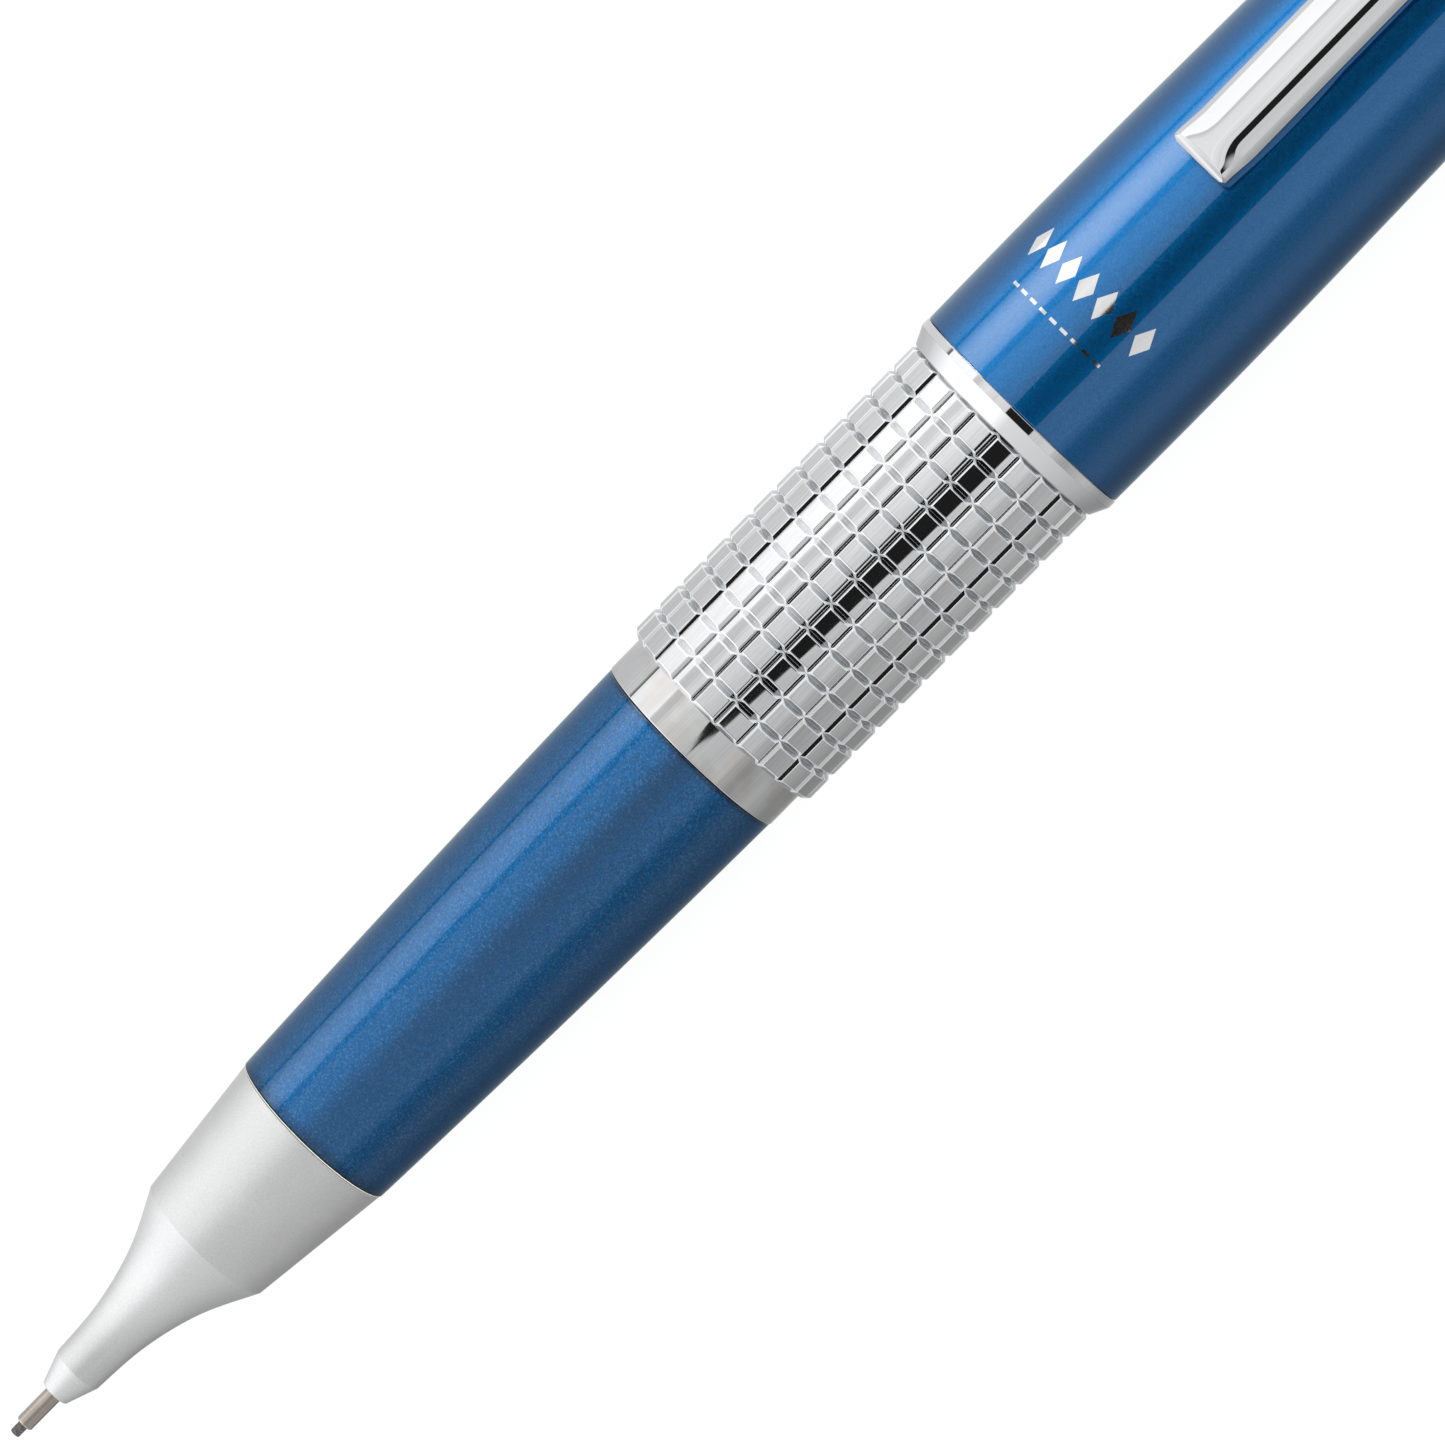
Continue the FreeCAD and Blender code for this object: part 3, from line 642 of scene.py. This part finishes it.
CLEAR_PLASTIC = grained("clear_styrene", MOULDED, rgb(0.8, 0.83, 0.86), 0.15, 0.3, 0.1, Alpha=0.45)
RUBBER = grained("retainer_rubber", MOULDED, rgb(0.035, 0.034, 0.033), 0.75, 0.08, 0.6)
ERASER = grained("eraser_vinyl", MOULDED, rgb(0.82, 0.81, 0.77), 0.62, 0.1, 0.5, Subsurface_Weight=0.1,
                 Subsurface_Radius=(0.0008, 0.0007, 0.0006))  # metres
GRAPHITE = graphite("graphite")
CAP_PAINT = lacquer("cap_lacquer", CAP_PAINTED_LIGHT, flake_mm=0.05, tilt=0.05, contrast=0.16, glint=0.03,
                    ornament=cap_ornament)
BARREL_PAINT = lacquer("barrel_lacquer", BARREL_PAINTED_LIGHT, flake_mm=0.07, tilt=0.09, contrast=0.26, glint=0.09,
                       front_x=barrel_x, band_x=barrel_end)
REAR_PAINT = lacquer("rear_lacquer", BARREL_PAINTED_LIGHT, flake_mm=0.07, tilt=0.09, contrast=0.26, glint=0.09)


# ---- nose and barrel ----
FINE_AROUND = 256  # segments around the large pieces


def build_lead():
    """The lead, with a worn edge."""
    x0, x1, r = span("lead")
    corners = [(x0, 0), (x0, r - 0.03, 0.02), (x0 + 0.07, r, 0.03), (x1, r, 0.02), (x1, 0)]
    lathe("lead_stick", corners, GRAPHITE, "lead", "lead", around=48)


def build_sleeve():
    """Guide tube with a thicker root inside the nose."""
    x0, x1, root = span("lead_sleeve")
    tube_r, bore = 0.48, 0.3
    corners = [(x0, bore, 0.02), (x0, tube_r - 0.05, 0.02), (x0 + 0.08, tube_r, 0.05),
               (nose_x, tube_r), (nose_x, root, 0.02), (x1, root, 0.02), (x1, bore)]
    lathe("guide_tube", corners, STEEL, "barrel", "lead_sleeve", around=96)


def build_nose():
    """Front chamfer, hollow flare, crease, cone and spigot, with the room for the clutch inside."""
    face_r, spigot_r = 0.8, 3.93
    tip_x, tip_r = nose_x + 1.71, 1.4
    crease_x, crease_r = nose_x + 11.14, 3.875
    end_x, end_r = barrel_x - GAP, 4.745
    flare = hermite([(tip_x + 0.25, tip_r + 0.012), (nose_x + 5.03, 1.665), (nose_x + 8.13, 2.455),
                     (crease_x - 0.12, crease_r - 0.06)], 0.05, 0.5)
    outside = [(nose_x, face_r, 0.07), (tip_x, tip_r, 0.22)] + flare
    outside += [(crease_x, crease_r, 0.1), (end_x, end_r, 0.05), (end_x, spigot_r, 0.03),
                (nose_end, spigot_r, 0.1)]
    housing_x, _, housing_r = span("clutch_housing")
    clutch_x, _, clutch_r = span("clutch_ring")
    housing_room, clutch_room, head_room = housing_r + 0.05, clutch_r + 0.1, 1.5
    step_x, stop_x = housing_x + 1.35, clutch_x - 0.62
    pocket_x, pocket_end, pocket_r = span("lead_retainer")
    pocket_end += 0.05
    root = span("lead_sleeve")[2] + GAP
    inside = [(nose_end, housing_room, 0.05), (step_x, housing_room), (step_x, clutch_room),
              (stop_x, clutch_room), (stop_x, head_room), (pocket_end, head_room),
              (pocket_end, pocket_r + GAP), (pocket_x, pocket_r + GAP), (pocket_x, root),
              (nose_x, root, 0.01)]
    lathe("nose_shell", outside + inside, SATIN, "barrel", "nose_cone", FINE_AROUND)


def build_front_barrel():
    """Slightly bowed sleeve. Inside are the nose's spigot, a shoulder for the spring and the joint."""
    front_r, bow, spigot_bore, bore = 4.79, 0.085, 3.95, 4
    shoulder_x, shoulder_end, shoulder_r = nose_end + 0.2, nose_end + 1.9, 2.75
    joint_x, _, joint_r = span("centre_joint")
    joint_x -= GAP
    joint_r += GAP
    skin = bowed((barrel_x, front_r), (barrel_end, barrel_end_r), bow, 24)
    corners = [(barrel_x, front_r, 0.1)] + skin[1:-1] + [(barrel_end, barrel_end_r, 0.08)]
    corners += [(barrel_end, joint_r), (joint_x, joint_r), (joint_x, bore), (shoulder_end, bore),
                (shoulder_end, shoulder_r), (shoulder_x, shoulder_r), (shoulder_x, spigot_bore),
                (barrel_x, spigot_bore)]
    lathe("front_grip_sleeve", corners, BARREL_PAINT, "barrel", "front_barrel", FINE_AROUND)


def build_rear_barrel():
    """The sleeve under the posted cap."""
    bore, joint_end, joint_bore = 3.6, span("centre_joint")[1] + GAP, 4.42
    end_r = span("tail_ring")[2]
    skin = bowed((rear_x, rear_r), (rear_end, end_r), 0.1, 24)
    corners = [(rear_x, rear_r, 0.12)] + skin[1:-1] + [(rear_end, end_r, 0.08)]
    corners += [(rear_end, bore), (joint_end, bore), (joint_end, joint_bore), (rear_x, joint_bore)]
    lathe("rear_sleeve", corners, REAR_PAINT, "barrel", "rear_barrel", FINE_AROUND)


# ---- centre band ----
EDGE = 0.03  # rounding along the pads' edges
PAD_STEPS = [0, 0.14, 0.155, 0.17, 0.185, 0.2, 0.24]  # across half a lengthwise groove
COLLAR_R = 5.575


def groove(distance, depth):
    """Depth of a 90 degree groove at a distance from its centre line, with rounded shoulders."""
    inside = depth - abs(distance)
    if inside <= -EDGE:
        return 0
    if inside < EDGE:
        return (inside + EDGE) ** 2 / (4 * EDGE)
    return inside


def ladder(half_steps, pitch, count):
    """Places across count grooves, thick near each groove. Returns (place, distance to its groove)."""
    places = []
    offsets = [-d for d in reversed(half_steps[1:])] + half_steps + [pitch / 2]
    for k in range(count):
        places += [(k * pitch + d, d) for d in offsets]
    return places


def knurl_rings(knurl_x):
    """(x, distance to the nearest row groove) down the knurl, from groove to groove."""
    pitch = KNURL_LENGTH / KNURL_ROWS
    wider = ROW_GROOVE - COLUMN_GROOVE
    rings = ladder([0] + [d + wider for d in PAD_STEPS], pitch, KNURL_ROWS + 1)
    last = KNURL_ROWS * pitch
    return [(knurl_x + x, d) for x, d in rings if -CLOSE <= x <= last + CLOSE]


def build_band():
    """Chrome band: a plain collar each side of rows of small square pads."""
    knurl_x = band_x + KNURL_START
    knurl_end = knurl_x + KNURL_LENGTH
    bore = span("centre_joint")[2] + GAP
    columns = ladder(PAD_STEPS, 2 * pi * band_r / KNURL_COLUMNS, KNURL_COLUMNS)
    angles = [KNURL_PHASE + place / band_r for place, _ in columns]
    count = len(columns)
    verts, rings = [], []

    def add_ring(x, radii, row):
        """A ring of points. row is its distance to a row groove, or None on the plain parts."""
        rings.append((len(verts), row))
        verts.extend((x, -r * sin(a), r * cos(a)) for a, r in zip(angles, radii))

    for x, r in outline([(knurl_x, bore), (band_x, bore, 0.03), (band_x, COLLAR_R, 0.06),
                         (knurl_x, COLLAR_R)], False):
        add_ring(x, [r] * count, None)
    for x, row in knurl_rings(knurl_x):
        depths = [max(groove(row, ROW_GROOVE), groove(column, COLUMN_GROOVE)) for _, column in columns]
        add_ring(x, [band_r - depth for depth in depths], row)
    for x, r in outline([(knurl_end, COLLAR_R), (band_end, COLLAR_R, 0.06), (band_end, bore, 0.03),
                         (knurl_x, bore)], False)[:-1]:
        add_ring(x, [r] * count, None)

    faces = []
    for (ring, row_a), (after, row_b) in zip(rings, rings[1:] + rings[:1]):
        for k in range(count):
            m = (k + 1) % count
            a, b, c, d = ring + k, after + k, after + m, ring + m
            if row_a is None or row_b is None:
                faces.append([a, b, c, d])
                continue
            along = abs(row_b) > abs(row_a)
            across = abs(columns[m][1]) > abs(columns[k][1])
            # Each square is split along the mitre, where the slopes of two crossing grooves meet.
            if along == across:
                faces += [[a, b, c], [a, c, d]]
            else:
                faces += [[a, b, d], [b, c, d]]
    add_piece("knurled_band", verts, faces, CHROME_KNURL, "barrel", "centre_band", sharp=30)


# ---- cap ----
CAP_WALL = 0.5
CAP_SHAPE = [(0, 6.462), (7.35, 6.494), (16.65, 6.398), (34.25, 6.085), (51.85, 5.7)]  # from the mouth


def build_cap_ring():
    """Ring with a coned front and a spigot in the cap."""
    mouth_r, cone, bore = 6.05, 0.94, 5.625
    step = cap_x - GAP
    spigot = CAP_SHAPE[0][1] - CAP_WALL - GAP
    corners = [(ring_x, bore, 0.08), (ring_x, mouth_r, 0.06), (ring_x + cone, ring_r, 0.05),
               (step, ring_r, 0.05), (step, spigot), (ring_end, spigot, 0.05), (ring_end, bore, 0.05)]
    lathe("cap_mouth_ring", corners, CHROME, "cap", "cap_ring", FINE_AROUND)


def build_cap_tube():
    """Two arcs: nearly straight over the ornament, then a slow taper to the clip ring."""
    mouth, wide, knee, middle, end = [(cap_x + x, r) for x, r in CAP_SHAPE]
    skin = arc_through(mouth, wide, knee, 16) + arc_through(knee, middle, end, 24)[1:]
    inner = [(x, r - CAP_WALL) for x, r in reversed(skin)]
    corners = [(*mouth, 0.06)] + skin[1:-1] + [(*end, 0.06)] + inner
    lathe("cap_sleeve", corners, CAP_PAINT, "cap", "cap_tube", around=288)


def build_finial():
    """Tapered end of the cap, behind the clip ring."""
    x0, x1, _ = span("cap_finial")
    rim_x = span("clip_ring")[1] + GAP
    front_r, end_r, bore, spigot, bow, chamfer = 5.6, 4.25, 3.05, 4.3, 0.22, 0.3
    skin = bowed((rim_x, front_r), (x1 - chamfer, end_r), bow, 16)
    corners = [(rim_x, front_r, 0.06)] + skin[1:-1] + [(x1 - chamfer, end_r, 0.1)]
    corners += [(x1, end_r - chamfer, 0.08), (x1, bore, 0.06), (x0, bore), (x0, spigot), (rim_x, spigot)]
    lathe("finial_shell", corners, CHROME, "cap", "cap_finial")


def build_button():
    """Hollow stem and head, with a fine ring groove in the face."""
    x0, x1, head_r = span("cap_button")
    head_x = span("cap_finial")[1] + 2.58
    stem, hollow, roof = 3, 2.3, x1 - 1.2
    groove_x = x1 - 0.08
    corners = [(roof, 0), (roof, hollow), (x0, hollow), (x0, stem), (head_x, stem),
               (head_x, head_r - 0.06, 0.05), (head_x + 0.1, head_r, 0.05), (x1 - 0.25, head_r, 0.1),
               (x1, head_r - 0.25, 0.12), (x1, 2.75, 0.03), (groove_x, 2.66, 0.03),
               (groove_x, 2.5, 0.03), (x1, 2.41, 0.03), (x1, 0)]
    lathe("cap_push_button", corners, CHROME, "cap_button", "cap_button")


# ---- clip ----
RISE = 0.45  # from the top of the free end to the top of the root
BAR_DEPTH = 1.45  # the bar's thickness at its middle
BEVEL = 0.46  # height of the 45 degree slope at the free end
SHOULDER = 0.9  # rounding of the root
TOP_HALF = clip_half - 0.3  # half the width of the crowned top; 45 degree sides follow
LEG_X = clip_end - 1.5
LEG_Z = clip_bottom + 1
TAB_HALF = 1.1
BUMP_X0, BUMP_X1, BUMP_Z = clip_x + 0.3, clip_x + 8, 6.39
STEEPEST = 1.04  # the crown is steepest this far from its middle


def crown(x):
    """Height of the clip's middle line."""
    return clip_top - RISE + RISE * (x - clip_x) / (clip_end - clip_x)


def drop(u, x):
    """How far the top falls at u from its middle: crowned along the arm, nearly flat at the free end.

    The numbers are fitted to the reflections in the photo.
    """
    steepening = 0.25 if u < 0 else 0
    u = abs(u)
    beyond = max(0, min(u, TOP_HALF) - STEEPEST)
    crowned = 0.169 * min(u, STEEPEST) ** 3.27 + 0.6 * beyond + steepening * beyond**2
    flat = 0.12 * (min(u, TOP_HALF) / TOP_HALF) ** 7
    t = min(1, max(0, (x - clip_x - 0.3) / 1.9))
    blend = t * t * (3 - 2 * t)
    return blend * crowned + (1 - blend) * flat + max(0, u - TOP_HALF)


def fall(x):
    """Extra drop of the top over the rounded root."""
    into = max(0, x - (clip_end - SHOULDER))
    return SHOULDER - sqrt(max(0, SHOULDER**2 - into**2))


def under(x, bump):
    """Height of the underside: the contact bump, then the arm, then the leg."""
    if x >= LEG_X - CLOSE:
        return LEG_Z
    if x <= BUMP_X0:
        return crown(clip_x) - BAR_DEPTH
    for (xa, za), (xb, zb) in zip(bump, bump[1:]):
        if xa <= x <= xb:
            return za + (zb - za) * (x - xa) / (xb - xa)
    return crown(x) - BAR_DEPTH


def clip_stations(bump):
    """Places of the clip's cross sections, closer together where the shape turns."""
    stations = [clip_x, BUMP_X0] + [BUMP_X0 + 0.12 * k for k in range(1, 17)]
    stations += [x for x, _ in bump if x > stations[-1] + 0.05]
    stations += [BUMP_X1 + (LEG_X - 0.02 - BUMP_X1) * k / 12 for k in range(1, 13)]
    root_x = clip_end - SHOULDER
    stations += [LEG_X] + [LEG_X + (root_x - LEG_X) * k / 3 for k in range(1, 4)]
    stations += [root_x + SHOULDER * sin(pi / 2 * k / 10) for k in range(1, 11)]
    return stations


def clip_bar():
    """Points and faces of the bar, before its end is cut and its tab is drawn."""
    bump = sorted(arc_through((BUMP_X1, crown(BUMP_X1) - BAR_DEPTH), ((BUMP_X0 + BUMP_X1) / 2, BUMP_Z),
                              (BUMP_X0, crown(clip_x) - BAR_DEPTH), 24))
    tops = [TOP_HALF * k / 18 for k in range(19)]
    across = [-clip_half] + [-u for u in reversed(tops[1:])] + tops + [clip_half]
    bottoms = [clip_half, TAB_HALF, -TAB_HALF, -clip_half]
    stations = clip_stations(bump)
    verts, faces = [], []
    for x in stations:
        verts += [(x, u, crown(x) - drop(u, x) - fall(x)) for u in across]
        verts += [(x, u, under(x, bump)) for u in bottoms]
    size = len(across) + len(bottoms)
    for s in range(len(stations) - 1):
        a, b = s * size, (s + 1) * size
        for k in range(size):
            m = (k + 1) % size
            faces.append([a + k, a + m, b + m, b + k])
    faces.append(list(range(size)))
    faces.append([len(verts) - size + k for k in range(size)])
    return verts, faces


def slice_off(bm, point, normal):
    """Cuts away what is beyond a plane, and closes the cut."""
    everything = bm.verts[:] + bm.edges[:] + bm.faces[:]
    cut = bmesh.ops.bisect_plane(bm, geom=everything, plane_co=point, plane_no=normal, clear_outer=True)
    edges = [e for e in cut["geom_cut"] if isinstance(e, bmesh.types.BMEdge)]
    bmesh.ops.edgeloop_fill(bm, edges=edges)


def add_tab(bm):
    """Draws the middle of the leg's underside down to the tab's end."""
    tab_faces = []
    for face in bm.faces:
        middle = face.calc_center_median()
        if middle.z < LEG_Z + 0.01 and abs(middle.y) < TAB_HALF and middle.x > LEG_X:
            tab_faces.append(face)
    for item in bmesh.ops.extrude_face_region(bm, geom=tab_faces)["geom"]:
        if isinstance(item, bmesh.types.BMVert):
            item.co.z = clip_bottom
    bmesh.ops.delete(bm, geom=tab_faces, context="FACES")


def build_clip():
    """Crowned bar with a bevelled free end, a contact bump under it, and a leg with a tab at the root."""
    verts, faces = clip_bar()
    mesh = bpy.data.meshes.new("clip_bar")
    mesh.from_pydata(verts, [], faces)
    bm = bmesh.new()
    bm.from_mesh(mesh)
    slice_off(bm, (clip_x, 0, crown(clip_x) - BEVEL), (-1, 0, 1))
    for sign in (-1, 1):
        slice_off(bm, (clip_x + 0.2, sign * clip_half, 0), (-0.3, sign * 0.2, 0))
    add_tab(bm)
    bmesh.ops.remove_doubles(bm, verts=bm.verts, dist=0.0005)
    bmesh.ops.recalc_face_normals(bm, faces=bm.faces)
    bm.to_mesh(mesh)
    bm.free()
    mesh.transform(Matrix.Scale(MM, 4))
    mesh.materials.append(CHROME)
    piece = add_object("pocket_clip_bar", mesh)
    soft = piece.modifiers.new("edges", "BEVEL")
    soft.width = 0.045 * MM
    soft.segments = 3
    soft.limit_method = "ANGLE"
    soft.angle_limit = radians(28)
    graph = bpy.context.evaluated_depsgraph_get()
    piece.data = bpy.data.meshes.new_from_object(piece.evaluated_get(graph))
    piece.modifiers.clear()
    piece.data.shade_smooth()
    piece.data.set_sharp_from_angle(angle=radians(24))
    claim(piece, "clip", "clip")


# ---- spring ----
def build_spring():
    """The coil, swept from a round wire."""
    x0, x1, outer = span("return_spring")
    wire, turns, per_turn, around, push = 0.15, 8, 48, 12, 2.5
    radius = outer - wire
    length = x1 - x0 - 2 * wire
    verts, faces = [], []
    steps = turns * per_turn
    slope = atan2(length / turns, 2 * pi * radius)
    for k in range(steps + 1):
        t = 2 * pi * k / per_turn
        centre = Vector((x0 + wire + length * k / steps, -radius * sin(t), radius * cos(t)))
        outward = Vector((0, -sin(t), cos(t)))
        tangent = Vector((sin(slope), -cos(slope) * cos(t), -cos(slope) * sin(t)))
        side = tangent.cross(outward)
        for m in range(around):
            a = 2 * pi * m / around
            verts.append(tuple(centre + wire * (cos(a) * outward + sin(a) * side)))
    for k in range(steps):
        a, b = k * around, (k + 1) * around
        for m in range(around):
            after = (m + 1) % around
            faces.append([a + m, a + after, b + after, b + m])
    faces.append(list(range(around)))
    faces.append([steps * around + m for m in range(around)])
    piece = add_piece("return_coil", verts, faces, SPRING_STEEL, "barrel", "return_spring")
    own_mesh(piece)


# ---- carried-over nodes ----
CARRIED = {
    "chuck clutch_ring": BRASS,
    "clutch_housing chuck_coupler cap_liner push_tube": BLACK_PLASTIC,
    "knock_button tail_ring clip_ring": CHROME,
    "lead_retainer": RUBBER, "lead_tube": CLEAR_PLASTIC, "spare_leads": GRAPHITE, "eraser": ERASER,
    "eraser_ferrule": STEEL, "cleaning_pin": SPRING_STEEL, "centre_joint": ALLOY,
}


def finish_carried():
    """The nodes that keep their CAD meshes get their materials."""
    for names, material in CARRIED.items():
        for name in names.split():
            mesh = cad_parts[name].data
            mesh.materials.clear()
            mesh.materials.append(material)


# ---- studio ----
TILT = radians(5.93)  # the cap's end is this much nearer the camera
DRAWN_ANGLE = radians(45.46)  # the axis runs up to the right at this angle
LOOK_X, LOOK_SIDE = 50.5, -0.295
DISTANCE = 343.5
LENS, SENSOR = 171.2, 36


def place_camera():
    c, s = cos(CLIP_SIDE_TURN), sin(CLIP_SIDE_TURN)
    near_side, sideways = Vector((0, -s, c)), Vector((0, c, s))
    along = Vector((1, 0, 0))
    back = (near_side * cos(TILT) + along * sin(TILT)).normalized()
    drawn = (along - back * along.dot(back)).normalized()
    right = Matrix.Rotation(-DRAWN_ANGLE, 3, back) @ drawn
    up = back.cross(right)
    target = along * LOOK_X + sideways * LOOK_SIDE
    spot = (target + back * DISTANCE) * MM
    turn = Matrix((right, up, back)).transposed().to_4x4()
    data = bpy.data.cameras.new("camera")
    data.lens = LENS
    data.sensor_width = SENSOR
    data.clip_start = 0.01
    data.clip_end = 20
    camera = add_object("camera", data)
    camera.matrix_world = Matrix.Translation(spot) @ turn
    bpy.context.scene.camera = camera


# A direction is given by its angle round the pencil, in degrees from the camera's side, and by its lean, the
# X of its unit vector. These are (angle, brightness) of what is mirrored straight across the pencil.
STUDIO = [(-180, .8), (-152, .88), (-128, .93), (-112, .96), (-98, 1.04), (-91, .99), (-89.5, .21),
          (-87, .21), (-86, 1.48), (-51, 1.5), (-49.5, .91), (-44, .85), (-42, 1.04), (-36, 1.17),
          (-26, 1.06), (-24, .93), (-21, 1.09), (-9.5, .99), (21, .88), (30, .85), (44, .91), (48, .72),
          (56, .56), (64, .5), (72, .58), (90, .69), (100, .63), (112, .5), (124, .41), (140, .4),
          (160, .48), (180, .8)]
ENDS = [(-180, .85), (-130, .88), (-109, 1.28), (-94, 1.56), (-21, 1.56), (-2, 1), (60, .84), (109, .62),
        (130, .46), (160, .43), (180, .85)]  # the same towards the two ends of the pencil
SHARP = [(-180, .6), (-130, .75), (-110, .85), (-98, 1), (-52, 1), (-50, .5), (-44, .5), (-42, 1),
         (50, 1), (56, .55), (72, .55), (80, .8), (100, .8), (112, .6), (180, .6)]  # clear coat only
BOX_MIDDLE, BOX_HALF, BOX_GAIN = -67, 18, 3.9  # hot middle of the soft box
BOX_LEVEL = 1.48
NOSE_BOX = (-93, 9)  # the nose mirrors the box here too: middle, half width
CARD_ANGLE, CARD_ANGLE_AT_END = 5.8, 3.5  # a black card above the pencil, a little bent at its end
CARD_WIDTHS = [(-0.11, -0.105, 8), (-0.105, -0.085, 4.5), (-0.085, -0.042, 2.3)]  # leans, degrees added
CARD_SOFTNESS = 0.8
CARD_LEVEL = 0.02
BEYOND_CARD = 0.45  # how far the room darkens beyond the card's end
END_TINT = rgb(0.985, 0.992, 1)
PLAIN_LIGHT, DIFFUSE_LIGHT = 1, 1.1  # what the camera and the dull surfaces get


def hot_middle(n, lean, angle):
    """Extra light of the soft box's middle, which is weaker towards the cap."""
    from_middle = n.math("DIVIDE", n.minus(angle, BOX_MIDDLE), BOX_HALF)
    bell = n.minus(1, n.math("POWER", n.size(from_middle), 2), clamp=True)
    return n.times(bell, BOX_GAIN, n.ranged(lean, -0.15, -0.02, 0.3, 1))


def card(n, lean, angle):
    """1 inside the card, which widens in three steps."""
    half = 0
    for start, end, more in CARD_WIDTHS:
        half = n.plus(half, n.ranged(lean, start, end, 0, more))
    middle = n.ranged(lean, -0.105, -0.06, CARD_ANGLE_AT_END, CARD_ANGLE)
    off = n.size(n.minus(angle, middle))
    return n.ranged(n.minus(half, off), 0, CARD_SOFTNESS)


def across_level(n, lean, angle, sharp_ray):
    """Brightness straight across the pencil."""
    dull_ray = n.minus(1, sharp_ray)
    at_nose = n.times(n.ranged(lean, -0.038, -0.028), dull_ray, n.math("COMPARE", angle, *NOSE_BOX),
                      BOX_LEVEL)
    level = n.most(n.around_ramp(angle, STUDIO), at_nose)
    streak = n.add("TexNoise", Scale=0.55, Detail=3, Roughness=0.7)
    streak.noise_dimensions = "1D"
    n.put(streak, "W", angle)
    level = n.times(level, n.ranged(streak.outputs["Fac"], 0.25, 0.75, 0.91, 1.09))
    level = n.plus(level, n.times(hot_middle(n, lean, angle), sharp_ray))
    level = n.times(level, n.scaled_plus(sharp_ray, n.around_ramp(angle, SHARP), dull_ray))
    level = n.times(level, n.ranged(card(n, lean, angle), 0, 1, 1, CARD_LEVEL))
    off_card = n.size(n.minus(angle, 14))
    beyond = n.times(n.ranged(lean, -0.145, -0.11, BEYOND_CARD, 0), dull_ray,
                     n.ranged(off_card, 20, 36, 1, 0))
    return n.times(level, n.minus(1, beyond), n.ranged(lean, -0.115, -0.045, 0.76, 1))


def studio_level(n, lean, z, angle, sharp_ray):
    """Brightness of the studio in one direction, and how much of it comes from the pencil's ends.

    Only mirror-sharp rays, which are those of the clear coat, see the soft box's hot middle.
    """
    reach = n.size(lean)
    end = n.ranged(reach, 0.22, 0.5, smooth=True)
    gain = n.plus(n.ranged(lean, -0.85, -0.5, 1.08, 1), n.ranged(lean, 0.1, 0.3, 0, -0.15))
    ends = n.times(n.around_ramp(angle, ENDS), end, gain)
    level = n.scaled_plus(across_level(n, lean, angle, sharp_ray), n.minus(1, end), ends)
    coat_dim = n.times(sharp_ray, n.ranged(reach, 0.4, 0.8, 0, 0.45))
    grazing = n.times(n.ranged(reach, 0.88, 0.97), n.ranged(z, 0, 0.1))
    return n.times(level, n.minus(1, coat_dim), n.scaled_plus(grazing, -0.5, 1)), end


def light_studio():
    """What the polished parts reflect, as a function of direction; plain white for everything else."""
    world = bpy.data.worlds.new("studio")
    bpy.context.scene.world = world
    world.cycles.sampling_method = "NONE"
    n = Nodes(world)
    ray = n.new("LightPath").outputs
    coords = n.new("TexCoord")
    lean, y, z = n.axes(coords.outputs["Generated"])
    level, end = studio_level(n, lean, z, n.camera_angle(y, z), ray["Is Singular Ray"])
    plain = n.ranged(ray["Is Diffuse Ray"], 0, 1, PLAIN_LIGHT, DIFFUSE_LIGHT)
    mirrored = n.most(ray["Is Glossy Ray"], ray["Is Singular Ray"])
    strength = n.plus(n.times(level, mirrored), n.times(plain, n.minus(1, mirrored)))
    tint = n.mix(n.times(end, mirrored), rgb(1, 1, 1), END_TINT)
    background = n.add("Background", Color=tint, Strength=strength)
    n.put(n.new("OutputWorld"), 0, background.outputs[0])
    bpy.context.scene.view_settings.view_transform = "Standard"


FLOOR_HALF = 3  # metres
FLOOR_GLOW = 0.88  # the share of its look that takes no shadow


def lay_floor():
    """A wide pale floor that the pencil lies on. It can't be seen from below."""
    low, half = cad_box[0][2], FLOOR_HALF
    mesh = bpy.data.meshes.new("floor")
    mesh.from_pydata([(-half, -half, low), (half, -half, low), (half, half, low), (-half, half, low)], [],
                     [[0, 1, 2, 3]])
    n, place = new_material("pale_floor")
    grain = n.noise(place, 0.05, 2)
    diffuse = n.add("BsdfDiffuse", Color=rgb(0.9, 0.9, 0.9))
    glow = n.add("Emission", Color=rgb(1, 1, 1), Strength=n.ranged(grain, 0, 1, 1.03, 1.05))
    clear = n.add("BsdfTransparent")
    pale = n.blend(FLOOR_GLOW, diffuse.outputs[0], glow.outputs[0])
    mesh.materials.append(n.output(n.blend(n.geometry("Backfacing"), pale, clear.outputs[0])))
    floor = add_object("floor", mesh)
    floor.visible_glossy = False


def soft_light():
    data = bpy.data.lights.new("soft_light", "AREA")
    data.shape = "DISK"
    data.size = 0.8
    data.energy = 2
    lamp = add_object("soft_light", data)
    lamp.location = (0.07, -0.3, 0.8)
    lamp.rotation_euler = (radians(20), 0, 0)
    lamp.visible_glossy = False


build_lead()
build_sleeve()
build_nose()
build_front_barrel()
build_rear_barrel()
build_band()
build_cap_ring()
build_cap_tube()
build_finial()
build_button()
build_clip()
build_spring()
finish_carried()
place_camera()
light_studio()
lay_floor()
soft_light()
